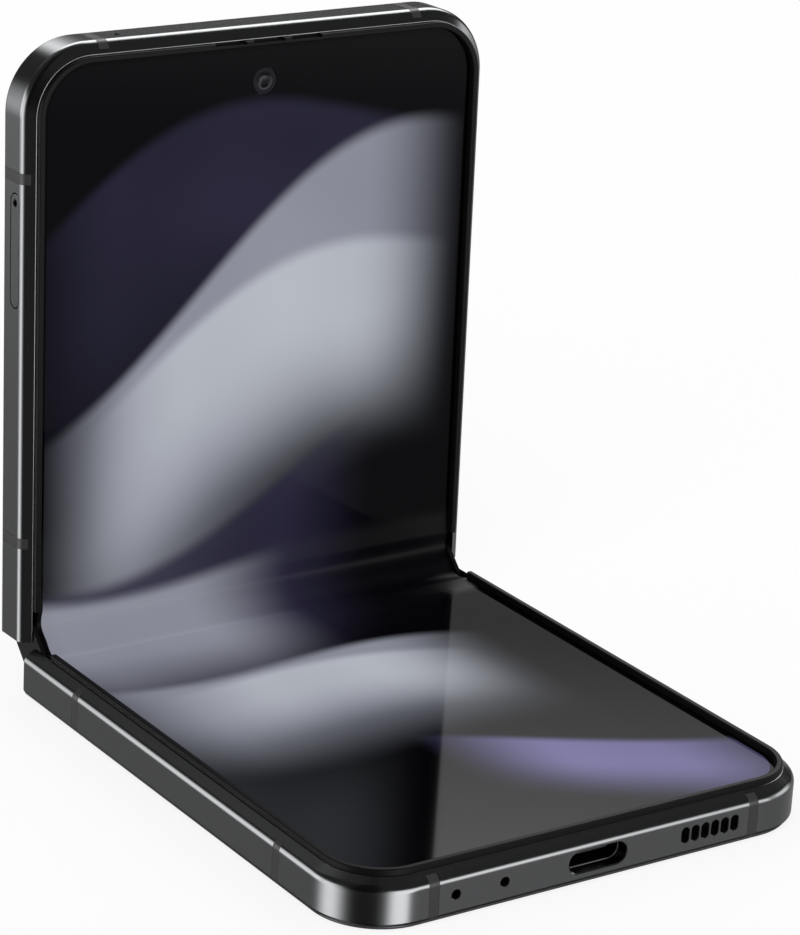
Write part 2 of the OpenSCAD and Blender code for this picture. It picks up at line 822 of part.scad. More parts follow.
rear_cams = [for (i = [0, 1]) [half_w - rear_cam_x - i * rear_cam_pitch, half_l - rear_cam_v]];
flash_point = [rear_cams[1][0] - 9.2, half_l - rear_cam_v];
barrel_r = ring_r - 0.45;
flash_r = 1.6;

module upper_back_glass() {
    color("darkslategray") upper_place() difference() {
        half_glass();
        for (p = rear_cams) translate([p[0], p[1], -cut]) cylinder(h = 2, r = barrel_r + part_gap);
        translate([flash_point[0], flash_point[1], -cut]) cylinder(h = 2, r = flash_r + part_gap);
    }
}

cover_start = 16.5; // hinge-side edge of the cover display
cover_t = 0.6;
cover_margin = 4.0;
cover_tab_v = half_l - rear_cam_v - 8; // cut-out round the cameras starts here

// display under the back glass, with a step round the cameras
module cover_display() {
    w = half_w - cover_margin;
    color("#101114") upper_place() at_height(glass_t, glass_t + cover_t) difference() {
        translate([-w, cover_start]) square([2 * w, half_l - cover_margin - corner_r - cover_start]);
        translate([flash_point[0] - 4, cover_tab_v]) square([body_w, half_l]);
    }
}

module upper_bezel() {
    color("#202224") upper_place() difference() {
        half_bezel();
        for (i = [-1 : 1]) block(i * (ear_slot_l + ear_slot_gap) - ear_slot_l / 2,
            i * (ear_slot_l + ear_slot_gap) + ear_slot_l / 2,
            inner_end - part_gap - ear_slot_w, inner_end + cut, midplate_top - cut, bezel_top + cut);
    }
}

module upper_display() {
    color("#151518") upper_place() difference() {
        at_height(panel_z, display_top) half_outline(panel_inset, bend_half);
        translate([0, half_l - front_cam_v, 0]) cylinder(h = 10, r = front_cam_r);
    }
}

module upper_display_plate() {
    color("silver") upper_place() difference() {
        at_height(support_z, panel_z) half_outline(panel_inset, bend_half + part_gap);
        translate([0, half_l - front_cam_v, 0]) cylinder(h = 10, r = front_cam_r);
    }
}

main_board_v = battery_v + upper_battery_l + battery_board_gap;
cam_module = 10.2;

// main board, cut out for the rear cameras, front camera, card reader and earpiece
module main_board() {
    color("darkgreen") upper_place() difference() {
        end_board(main_board_v);
        block(rear_cams[1][0] - cam_module / 2 - 0.2, half_w, half_l - rear_cam_v - cam_module / 2 - 0.2,
            half_l, 0, rail_top);
        block(-4, 4, half_l - front_cam_v - 3, half_l, 0, rail_top);
        // way for the sound between earpiece and duct
        block(-ear_half - 0.5, 4, inner_end - 1.4, half_l, 0, rail_top);
        screw_holes(upper_board_screws);
    }
}

shield_t = 0.2;
shield_h = 2.45;
shield_v = main_board_v + 2;
// left side, width and length of each can: one ends short of the rear cameras, one of the front camera
shield_cans = [[4, 23, half_l - rear_cam_v - cam_module / 2 - 5.45 - shield_v],
    [-12, 14, half_l - front_cam_v - 6.1 - shield_v]];

// pressed cans over the chips, open towards the board
module board_shields() {
    low = board_z - shield_h;
    color("lightgray") upper_place() for (can = shield_cans) difference() {
        block(can[0], can[0] + can[1], shield_v, shield_v + can[2], low, board_z);
        block(can[0] + shield_t, can[0] + can[1] - shield_t, shield_v + shield_t, shield_v + can[2] - shield_t,
            low + shield_t, board_z + cut);
    }
}

module upper_battery() {
    w = upper_battery_w / 2;
    color("#303236") upper_place() block(-w, w, battery_v, battery_v + upper_battery_l,
        glass_t + cover_t + part_gap, roof_z);
}

module front_camera() {
    v = half_l - front_cam_v;
    color("#18191b") upper_place() {
        block(-2.9, 2.9, v - 2.7, v + 2.7, 2.4, roof_z);
        translate([0, v, 3]) cylinder(h = display_top - 0.35 - 3, r = front_cam_r - part_gap);
    }
}

module front_camera_lens() {
    color("#0c0c14") upper_place() translate([0, half_l - front_cam_v, display_top - 0.35])
        cylinder(h = 0.3, r = front_cam_r - part_gap);
}

// receiver capsule beside the front camera, under the duct
module earpiece() {
    color("silver") upper_place() block(-12, -4.2, inner_end - 7, inner_end - 1, 1.6, board_z - part_gap);
}

module earpiece_mesh() {
    color("dimgray") upper_place() block(-ear_half + part_gap, ear_half - part_gap, inner_end - duct_w,
        inner_end - 2 * part_gap, midplate_z, midplate_top - part_gap);
}

module rear_cameras() {
    color("#1c1d20") upper_place() for (p = rear_cams) {
        block(p[0] - cam_module / 2, p[0] + cam_module / 2, p[1] - cam_module / 2, p[1] + cam_module / 2,
            glass_t + 0.55, roof_z);
        translate([p[0], p[1], -0.3]) cylinder(h = 1.5, r = 3.9);
    }
}

module camera_rings() {
    color("gray") upper_place() for (p = rear_cams) translate([p[0], p[1], 0]) difference() {
        union() {
            translate([0, 0, -ring_proud]) cylinder(h = ring_proud, r = ring_r);
            cylinder(h = glass_t + 0.5, r = barrel_r);
        }
        translate([0, 0, -0.3 - cut]) cylinder(h = 3, r = 3.9 + part_gap);
        translate([0, 0, -ring_proud - cut]) cylinder(h = ring_proud - 0.3 + cut, r = ring_r - 0.9);
    }
}

module camera_lenses() {
    color("#0c0c14") upper_place() for (p = rear_cams) translate([p[0], p[1], -ring_proud + 0.15])
        cylinder(h = ring_proud - 0.15 - 0.3, r = ring_r - 0.9 - part_gap);
}

module flash_lens() {
    color("ivory") upper_place() translate([flash_point[0], flash_point[1], 0]) cylinder(h = 1.0, r = flash_r);
}

card_l = 12.3;
card_w = 8.8;
card_t = 0.67;
carrier_x = -inner_w + part_gap; // the tray's carrier is measured from here
carrier_l = 14.6;
carrier_w = 10.6;
carrier_t = 0.85;
reader_gap = 0.12;
pocket_x = 1.3; // the card lies this far behind the carrier's outer end

// cage that the tray slides into, closed at its inner end
module card_reader() {
    z0 = tray_z - carrier_t / 2 - reader_gap;
    z1 = tray_z + carrier_t / 2 + reader_gap;
    wall = 0.25;
    v0 = tray_v - carrier_w / 2 - reader_gap - wall;
    v1 = tray_v + carrier_w / 2 + reader_gap + wall;
    color("silver") upper_place() difference() {
        block(carrier_x + 1.3, carrier_x + carrier_l + 1.2, v0, v1, z0 - wall, board_z - part_gap);
        block(carrier_x, carrier_x + carrier_l + 0.8, v0 + wall, v1 - wall, z0, z1);
    }
}

module sim_tray() {
    color("dimgray") upper_place() difference() {
        union() {
            intersection() {
                side_slot(tray_v, tray_z, tray_l - 2 * key_gap, tray_h - 2 * key_gap, -half_w, -inner_w);
                sweep_half(rail_end) rail_section();
            }
            block(-inner_w - cut, carrier_x + carrier_l, tray_v - carrier_w / 2, tray_v + carrier_w / 2,
                tray_z - carrier_t / 2, tray_z + carrier_t / 2);
        }
        translate([carrier_x + pocket_x, tray_v - card_w / 2 - part_gap, tray_z + carrier_t / 2 - card_t])
            cube([card_l + 2 * part_gap, card_w + 2 * part_gap, card_t + cut]);
        // eject hole beside the carrier
        translate([-half_w - cut, tray_v + tray_l / 2 - 1.35, tray_z]) rotate([0, 90, 0])
            cylinder(h = 3, r = eject_r);
    }
}

module nano_card() {
    color("goldenrod") upper_place() translate([carrier_x + pocket_x + part_gap, tray_v - card_w / 2,
        tray_z + carrier_t / 2 - card_t]) cube([card_l, card_w, card_t - 0.02]);
}

key_flange = 0.5;
key_flange_t = 0.4;
flange_gap = 0.25;

// key with a flange that keeps it in its slot
module key(v, l, outer_x) {
    side_slot(v, port_z, l - 2 * key_gap, key_h - 2 * key_gap, inner_w - key_flange_t - flange_gap, outer_x);
    side_slot(v, port_z, l + key_flange, key_h + key_flange * 0.6, inner_w - key_flange_t - flange_gap,
        inner_w - flange_gap);
}

module volume_key() {
    color("dimgray") upper_place() key(volume_v, volume_l, half_w + volume_proud);
}

module side_key() {
    color("#3a3c40") upper_place() key(side_key_v, side_key_l, half_w - side_key_sunk);
}

switch_gap = 0.3; // free travel between a key and its switch
switch_v = [volume_v - volume_l / 2 + 3.3, volume_v + volume_l / 2 - 3.3, side_key_v];

module key_switches() {
    x1 = inner_w - key_flange_t - flange_gap - switch_gap;
    half_carrier = volume_l / 2 - 1.3;
    color("silver") upper_place() {
        for (v = switch_v) block(x1 - 0.5, x1, v - 1.2, v + 1.2, port_z - 0.9, port_z + 0.9);
        block(x1 - 0.8, x1 - 0.5, volume_v - half_carrier, volume_v + half_carrier, port_z - 1.2, board_z - part_gap);
        block(x1 - 0.8, x1 - 0.5, side_key_v - 4, side_key_v + 4, port_z - 1.2, roof_z);
    }
}

module top_microphone() {
    color("gold") upper_place() difference() {
        block(top_mic_x - 1.4, top_mic_x + 1.4, inner_end - 2.4, inner_end - part_gap,
            port_z - 1.0, board_z - part_gap);
        translate([top_mic_x, inner_end, port_z]) rotate([90, 0, 0]) cylinder(h = 1.0, r = 0.3);
    }
}

module upper_screws() {
    color("silver") upper_place() half_screws(upper_board_screws);
}

module upper_magnets() {
    color("slategray") upper_place() half_magnets(magnet_v);
}

lower_frame();
lower_antenna_bands();
lower_back_glass();
lower_bezel();
lower_display();
lower_display_plate();
lower_battery();
charging_coil();
lower_board();
usb_shell();
usb_tongue();
loudspeaker();
speaker_mesh();
vibration_motor();
bottom_microphones();
lower_screws();
lower_magnets();
lower_hinge_arms();
hinge_spine_cover();
hinge_end_caps();
hinge_brackets();
hinge_pins();
friction_springs();
hinge_center_plate();
hinge_flex();
fold_display();
idler_gears_lower();
idler_gears_upper();
upper_frame();
upper_antenna_bands();
upper_back_glass();
cover_display();
upper_bezel();
upper_display();
upper_display_plate();
upper_hinge_arms();
main_board();
board_shields();
upper_battery();
front_camera();
front_camera_lens();
earpiece();
earpiece_mesh();
rear_cameras();
camera_rings();
camera_lenses();
flash_lens();
card_reader();
key_switches();
top_microphone();
upper_screws();
upper_magnets();
sim_tray();
nano_card();
volume_key();
side_key();
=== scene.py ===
"""Dresses the foldable phone: rails, rims, folding display, ports, keys, cameras and studio."""

import json
import logging
import math
from dataclasses import dataclass, field
from enum import Enum
from typing import Callable, Sequence

import bpy
import bmesh
import numpy as np
from mathutils import Matrix, Vector


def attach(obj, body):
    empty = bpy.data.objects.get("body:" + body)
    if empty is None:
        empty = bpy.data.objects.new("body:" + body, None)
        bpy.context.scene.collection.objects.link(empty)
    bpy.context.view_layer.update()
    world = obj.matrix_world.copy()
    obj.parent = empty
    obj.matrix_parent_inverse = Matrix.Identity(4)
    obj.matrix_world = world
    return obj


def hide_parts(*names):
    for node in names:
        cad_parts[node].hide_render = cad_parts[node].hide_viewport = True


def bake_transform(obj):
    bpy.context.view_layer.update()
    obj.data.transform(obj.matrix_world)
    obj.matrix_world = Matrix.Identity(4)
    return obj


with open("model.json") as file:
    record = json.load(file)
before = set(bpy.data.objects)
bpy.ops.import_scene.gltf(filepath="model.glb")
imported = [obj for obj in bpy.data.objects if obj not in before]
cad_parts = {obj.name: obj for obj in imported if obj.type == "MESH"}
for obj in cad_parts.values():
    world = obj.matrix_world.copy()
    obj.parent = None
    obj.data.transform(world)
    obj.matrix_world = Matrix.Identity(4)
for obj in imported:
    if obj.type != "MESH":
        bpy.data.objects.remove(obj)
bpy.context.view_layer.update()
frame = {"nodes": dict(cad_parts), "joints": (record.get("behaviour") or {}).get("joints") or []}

logging.basicConfig(level=logging.INFO, format="%(message)s")
log = logging.getLogger("phone")

MM = 0.001
JOINTS = {joint["name"]: joint for joint in frame["joints"]}
FOLD_LOWER = np.array(JOINTS["fold_lower"]["pos_m"]) / MM
HALF_FOLD = -math.radians(JOINTS["fold_lower"]["range_deg"][0])
AXIS_V = 2.0  # distance of a fold axis from the hinge line, mm
AXIS_Z = FOLD_LOWER[2]
HINGE_Y = FOLD_LOWER[1] + AXIS_V  # row y of the hinge line, mm


# ---------- places ----------


def turned(points: np.ndarray, y: float, z: float, angle: float) -> np.ndarray:
    """Turns points about a line along x.

    Args:
        points: rows of x, y, z.
        y: the line's y.
        z: the line's z.
        angle: turn in radians, right-handed about +x.

    Returns:
        The turned points.
    """
    c, s = math.cos(angle), math.sin(angle)
    dy, dz = points[:, 1] - y, points[:, 2] - z
    return np.stack([points[:, 0], y + dy * c - dz * s, z + dy * s + dz * c], axis=1)


class Place(Enum):
    """The part of the phone that a mesh is drawn for.

    A drawing has x across, distance v from the hinge line and height z, in mm.
    """

    LOWER = "lower_half"
    SPINE = "hinge_spine"
    UPPER = "upper_half"

    @property
    def mirrored(self) -> bool:
        """True where drawing distance v runs against the row's y."""
        return self is Place.LOWER

    def to_row(self, points: np.ndarray) -> np.ndarray:
        """Moves drawn points to the row frame at rest.

        Args:
            points: rows of x, v, z in mm.

        Returns:
            Rows of x, y, z in metres.
        """
        p = np.array(points, float).reshape(-1, 3)
        if self is Place.LOWER:
            p = p * [1, -1, 1]
        p = p + [0, HINGE_Y, 0]
        if self is Place.UPPER:
            p = turned(p, HINGE_Y + AXIS_V, AXIS_Z, HALF_FOLD)
        if self is not Place.LOWER:
            p = turned(p, HINGE_Y - AXIS_V, AXIS_Z, HALF_FOLD)
        return p * MM

    def direction(self, vectors: np.ndarray) -> np.ndarray:
        """Turns drawn directions to the row frame at rest."""
        origin = self.to_row(np.zeros((1, 3)))
        return (self.to_row(np.array(vectors, float).reshape(-1, 3)) - origin) / MM

    def from_row(self, points: np.ndarray) -> np.ndarray:
        """Moves points of the row frame at rest, in metres, back to the drawing in mm."""
        origin = self.to_row(np.zeros((1, 3)))
        return (np.asarray(points, float) - origin) @ np.linalg.inv(self.direction(np.eye(3))) / MM


Solid = tuple[np.ndarray, list[list[int]]]  # points and faces
Pair = tuple[float, float]
Triple = tuple[float, float, float]


class Facing(Enum):
    """The way that a slot-shaped part looks out of its half."""

    END = "end"
    LEFT = "left"
    RIGHT = "right"

    def ring(self, outline: np.ndarray, at: Pair, level: float) -> np.ndarray:
        """Puts an outline on the wall that it faces.

        Args:
            outline: rows of two coordinates, along the wall and in height.
            at: the outline's middle, along the wall and in height.
            level: distance of the outline from the half's middle or hinge line.

        Returns:
            Rows of x, v, z.
        """
        along, high = outline[:, 0] + at[0], outline[:, 1] + at[1]
        out = np.full(len(outline), level)
        if self is Facing.END:
            return np.column_stack([along, out, high])
        return np.column_stack([out if self is Facing.RIGHT else -out, along, high])


# ---------- meshes ----------


def make_mesh(name: str, points: np.ndarray, faces: Sequence[Sequence[int]],
              merge: float = 1e-5) -> bpy.types.Mesh:
    """A mesh of drawn points, with its faces turned outwards.

    Args:
        name: name of the mesh.
        points: rows of x, y, z.
        faces: rings of point numbers.
        merge: points nearer than this become one.

    Returns:
        The mesh.
    """
    mesh = bpy.data.meshes.new(name)
    mesh.from_pydata([tuple(p) for p in points], [], [tuple(f) for f in faces])
    bm = bmesh.new()
    bm.from_mesh(mesh)
    bmesh.ops.remove_doubles(bm, verts=bm.verts, dist=merge)
    bmesh.ops.recalc_face_normals(bm, faces=bm.faces)
    bm.to_mesh(mesh)
    bm.free()
    return mesh


def make_object(name: str, mesh: bpy.types.Mesh) -> bpy.types.Object:
    """Links a mesh into the scene.

    Args:
        name: name of the object.
        mesh: its mesh.

    Returns:
        The object.
    """
    obj = bpy.data.objects.new(name, mesh)
    bpy.context.scene.collection.objects.link(obj)
    return obj


def loft(rings: Sequence[np.ndarray]) -> Solid:
    """Solid through rings of equal counts, with a face at each end.

    Args:
        rings: rows of x, y, z each.

    Returns:
        Points and faces.
    """
    n = len(rings[0])
    faces = [[i * n + k, i * n + (k + 1) % n, (i + 1) * n + (k + 1) % n, (i + 1) * n + k]
             for i in range(len(rings) - 1) for k in range(n)]
    last = (len(rings) - 1) * n
    return np.vstack(rings), faces + [list(range(n))[::-1], list(range(last, last + n))]


def arc(x: float, y: float, r: float, first: float, last: float, steps: int) -> list[Pair]:
    """Points of an arc about (x, y) from one angle in degrees to another, one more than its facets."""
    angles = [math.radians(first + (last - first) * k / steps) for k in range(steps + 1)]
    return [(x + r * math.cos(a), y + r * math.sin(a)) for a in angles]


def raised(outline: np.ndarray, z: float) -> np.ndarray:
    """An outline at a height."""
    return np.column_stack([outline, np.full(len(outline), z)])


def prism(outline: np.ndarray, z0: float, z1: float) -> Solid:
    """Upright prism of a counter-clockwise outline between two heights."""
    return loft([raised(outline, z0), raised(outline, z1)])


def block(low: Sequence[float], high: Sequence[float]) -> Solid:
    """Upright block between two corners."""
    outline = np.array([(low[0], low[1]), (high[0], low[1]), (high[0], high[1]), (low[0], high[1])])
    return prism(outline, low[2], high[2])


def plug(facing: Facing, at: Pair, slot: Pair,
         levels: Sequence[Pair], upright: bool = False) -> Solid:
    """A slot-shaped solid that looks out of a half.

    Args:
        facing: the way it looks.
        at: its middle, along the wall and in height.
        slot: its length and width.
        levels: where it lies, from inside to outside, and how much larger it is there all round.
        upright: True where its length stands across the wall.

    Returns:
        Points and faces.
    """
    rings = []
    for level, grow in levels:
        outline = stadium(slot[0] + 2 * grow, slot[1] + 2 * grow, 24)
        rings.append(facing.ring(outline[:, ::-1] if upright else outline, at, level))
    return loft(rings)


def rounding(level: float, grow: float, radius: float, steps: int = 6) -> list[Pair]:
    """Levels of a plug's rounded outer edge, ending in its face."""
    return [(out, wide) for wide, out in arc(grow - radius, level - radius, radius, 0, 90, steps)]


def lathe(profile: Sequence[Pair], at: Sequence[float] = (0, 0), steps: int = 72) -> Solid:
    """Turned solid about the z axis.

    Args:
        profile: radius and height pairs from the axis out and back to the axis, or a closed ring.
        at: where the axis stands.
        steps: number of facets round it.

    Returns:
        Points and faces.
    """
    rows = len(profile)
    points = [(*p, z) for r, z in profile for p in arc(at[0], at[1], r, 0, 360, steps)[:-1]]
    faces = []
    closed = profile[0][0] > 1e-6
    for i in range(rows if closed else rows - 1):
        for k in range(steps):
            a, b = i * steps + k, i * steps + (k + 1) % steps
            j = (i + 1) % rows
            faces.append([a, b, j * steps + (k + 1) % steps, j * steps + k])
    return np.array(points), faces


def stadium(length: float, width: float, steps: int = 16) -> np.ndarray:
    """Outline of a slot with round ends, long along its first axis.

    Args:
        length: whole length.
        width: whole width.
        steps: facets on each round end.

    Returns:
        Rows of two coordinates, counter-clockwise.
    """
    r = width / 2
    half = max(length / 2 - r, 0.0)
    return np.array(arc(half, 0, r, -90, 90, steps) + arc(-half, 0, r, 90, 270, steps))


def round_outline(w: float, v0: float, v1: float, r: float, steps: int = 32) -> np.ndarray:
    """Outline of a half of half width w from v0 to v1: square at the hinge, corners of radius r beyond."""
    corners = arc(w - r, v1 - r, r, 0, 90, steps) + arc(r - w, v1 - r, r, 90, 180, steps)
    return np.array([(-w, v0), (w, v0)] + corners)


def cut(obj: bpy.types.Object, *solids: Solid) -> bpy.types.Object:
    """Cuts solids out of an object and keeps the result as a plain mesh.

    Args:
        obj: the object.
        solids: points and faces of what is taken away.

    Returns:
        The same object with its new mesh.
    """
    cutters = [solid_object("cutter", solid) for solid in solids]
    for cutter in cutters:
        modifier = obj.modifiers.new("cut", "BOOLEAN")
        modifier.operation = "DIFFERENCE"
        modifier.solver = "EXACT"
        modifier.object = cutter
    keep_result(obj)
    for cutter in cutters:
        bpy.data.objects.remove(cutter)
    return obj


def keep_result(obj: bpy.types.Object) -> None:
    """Turns an object's modifiers into its plain mesh.

    Args:
        obj: the object.
    """
    graph = bpy.context.evaluated_depsgraph_get()
    result = bpy.data.meshes.new_from_object(obj.evaluated_get(graph))
    obj.modifiers.clear()
    old = obj.data
    obj.data = result
    bpy.data.meshes.remove(old)


def soft_shade(obj: bpy.types.Object, angle: float = 32.0) -> None:
    """Smooth shading in which flat faces stay flat.

    Args:
        obj: object in its place.
        angle: edges sharper than this stay sharp, in degrees.
    """
    mesh = obj.data
    mesh.polygons.foreach_set("use_smooth", [True] * len(mesh.polygons))
    mesh.set_sharp_from_angle(angle=math.radians(angle))
    modifier = obj.modifiers.new("flat faces lead", "WEIGHTED_NORMAL")
    modifier.mode = "FACE_AREA_WITH_ANGLE"
    modifier.weight = 90
    modifier.keep_sharp = True
    keep_result(obj)


@dataclass
class Corners:
    """Which face and point each corner of a mesh belongs to."""

    face: np.ndarray
    point: np.ndarray
    points: int

    @classmethod
    def of(cls, mesh: bpy.types.Mesh) -> "Corners":
        """Reads a mesh's corners.

        Args:
            mesh: the mesh.

        Returns:
            Its corners.
        """
        totals = np.empty(len(mesh.polygons), int)
        mesh.polygons.foreach_get("loop_total", totals)
        point = np.empty(len(mesh.loops), int)
        mesh.loops.foreach_get("vertex_index", point)
        return cls(np.repeat(np.arange(len(totals)), totals), point, len(mesh.vertices))

    def keys(self) -> np.ndarray:
        """A number for each corner that flipping the mesh doesn't change."""
        return self.face * self.points + self.point


def exact_normals(mesh: bpy.types.Mesh, true_normal: Callable[[np.ndarray], np.ndarray],
                  limit: float) -> np.ndarray:
    """Normals of the surface that a drawn mesh follows, at its corners.

    Args:
        mesh: the mesh, in drawing coordinates.
        true_normal: gives the surface's normal at each of an array of points.
        limit: a corner keeps its face's own normal where the two agree less than this cosine.

    Returns:
        A normal for each corner.
    """
    corners = Corners.of(mesh)
    at = drawn_points(mesh)[corners.point]
    flat = np.empty(len(mesh.polygons) * 3)
    mesh.polygons.foreach_get("normal", flat)
    flat = flat.reshape(-1, 3)[corners.face]
    exact = true_normal(at)
    agree = np.sum(exact * flat, axis=1) > limit
    return np.where(agree[:, None], exact, flat)


def drawn_points(mesh: bpy.types.Mesh) -> np.ndarray:
    """Reads a mesh's points.

    Args:
        mesh: the mesh.

    Returns:
        Rows of x, y, z.
    """
    co = np.empty(len(mesh.vertices) * 3)
    mesh.vertices.foreach_get("co", co)
    return co.reshape(-1, 3)


def redraw(mesh: bpy.types.Mesh, points: np.ndarray) -> None:
    """Gives the mesh's points new places."""
    mesh.vertices.foreach_set("co", points.ravel())
    mesh.update()


def set_in_place(obj: bpy.types.Object, place: Place, true_normal: Callable | None = None,
                 limit: float = 0.93) -> bpy.types.Object:
    """Moves a drawn mesh to its place in the row frame.

    Args:
        obj: object with a mesh drawn in mm.
        place: the part of the phone it is drawn for.
        true_normal: where given, the mesh is shaded with these exact normals.
        limit: cosine below which a corner keeps its face's own normal.

    Returns:
        The object.
    """
    mesh = obj.data
    if true_normal:
        before, normals = Corners.of(mesh), exact_normals(mesh, true_normal, limit)
        mesh.polygons.foreach_set("use_smooth", [True] * len(mesh.polygons))
    redraw(mesh, place.to_row(drawn_points(mesh)))
    if place.mirrored:
        mesh.flip_normals()
    mesh.update()
    if true_normal:
        old, new = before.keys(), Corners.of(mesh).keys()
        order = np.argsort(old)
        moved = place.direction(normals[order][np.searchsorted(old[order], new)])
        moved /= np.linalg.norm(moved, axis=1)[:, None]
        mesh.normals_split_custom_set([tuple(n) for n in moved])
        mesh.update()
    return obj


def solid_object(name: str, *solids: Solid) -> bpy.types.Object:
    """An object of one or more solids."""
    return make_object(name, join(name, solids))


def join(name: str, parts: Sequence[Solid]) -> bpy.types.Mesh:
    """One mesh of several solids.

    Args:
        name: name of the mesh.
        parts: points and faces of each solid.

    Returns:
        The mesh.
    """
    points, faces, start = [], [], 0
    for p, f in parts:
        points.append(np.asarray(p, float))
        faces += [[i + start for i in ring] for ring in f]
        start += len(p)
    return make_mesh(name, np.vstack(points), faces)


# ---------- shader maths ----------


@dataclass
class Socket:
    """A number on its way through a shader, with Python's own operators."""

    book: "NodeBook"
    link: object

    def __add__(self, other: object) -> "Socket":
        """Sum."""
        return self.book.maths("ADD", self, other)

    def __sub__(self, other: object) -> "Socket":
        """Difference."""
        return self.book.maths("SUBTRACT", self, other)

    def __rsub__(self, other: object) -> "Socket":
        """Difference from a number."""
        return self.book.maths("SUBTRACT", other, self)

    def __mul__(self, other: object) -> "Socket":
        """Product."""
        return self.book.maths("MULTIPLY", self, other)

    def __truediv__(self, other: object) -> "Socket":
        """Quotient."""
        return self.book.maths("DIVIDE", self, other)

    def __pow__(self, other: object) -> "Socket":
        """Power."""
        return self.book.maths("POWER", self, other)

    __radd__, __rmul__ = __add__, __mul__

    def abs(self) -> "Socket":
        """Size without sign."""
        return self.book.maths("ABSOLUTE", self)

    def sin(self) -> "Socket":
        """Sine."""
        return self.book.maths("SINE", self)

    def most(self, other: object) -> "Socket":
        """The larger of two."""
        return self.book.maths("MAXIMUM", self, other)

    def clamp(self) -> "Socket":
        """Kept from 0 to 1."""
        return self.book.maths("ADD", self, 0.0, clamp=True)

    def ramp(self, low: float, high: float) -> "Socket":
        """Smooth step from 0 at low to 1 at high; low may be the larger."""
        t = ((self - low) / (high - low)).clamp()
        return t * t * (3.0 - 2.0 * t)


class NodeBook:
    """Makes and links the nodes of one material or world."""

    def __init__(self, tree: bpy.types.NodeTree) -> None:
        """Empties the node tree that it will fill."""
        self.tree = tree
        tree.nodes.clear()

    def node(self, kind: str, settings: dict | None = None, inputs: dict | None = None,
             output: object = 0) -> Socket:
        """Makes a node.

        Args:
            kind: the node's type name.
            settings: properties, which are set first.
            inputs: values or sockets by input name or number.
            output: name or number of the output that is returned.

        Returns:
            The output, wrapped for maths.
        """
        node = self.tree.nodes.new(kind)
        for key, value in (settings or {}).items():
            setattr(node, key, value)
        for key, value in (inputs or {}).items():
            socket = node.inputs[key]
            if isinstance(value, Socket):
                self.tree.links.new(value.link, socket)
            else:
                socket.default_value = value
        return Socket(self, node.outputs[output])

    def close(self, kind: str, surface: Socket) -> None:
        """Ends the tree in an output node of a kind."""
        self.tree.links.new(surface.link, self.tree.nodes.new(kind).inputs["Surface"])

    def mix(self, factor: object, a: object, b: object) -> Socket:
        """Mixes two colours, the second by the factor."""
        return self.node("ShaderNodeMix", {"data_type": "RGBA"}, {"Factor": factor, 6: a, 7: b}, 2)

    def maths(self, operation: str, a: object, b: object = 0.0, clamp: bool = False) -> Socket:
        """A Math node of two values."""
        return self.node("ShaderNodeMath", {"operation": operation, "use_clamp": clamp}, {0: a, 1: b})

    def split(self, vector: Socket) -> tuple[Socket, Socket, Socket]:
        """The three numbers of a vector."""
        node = self.node("ShaderNodeSeparateXYZ", None, {0: vector}).link.node
        return tuple(Socket(self, node.outputs[i]) for i in range(3))

    def position(self) -> Socket:
        """Object coordinates."""
        return self.node("ShaderNodeTexCoord", None, None, "Object")

    def noise(self, scale: float, detail: float = 2.0, roughness: float = 0.5,
              at: Socket | None = None) -> Socket:
        """Noise from 0 to 1 with so many features to the unit, on object coordinates if none are given."""
        inputs = {"Vector": at or self.position(), "Scale": scale, "Detail": detail, "Roughness": roughness}
        return self.node("ShaderNodeTexNoise", {"noise_dimensions": "3D"}, inputs, 0)


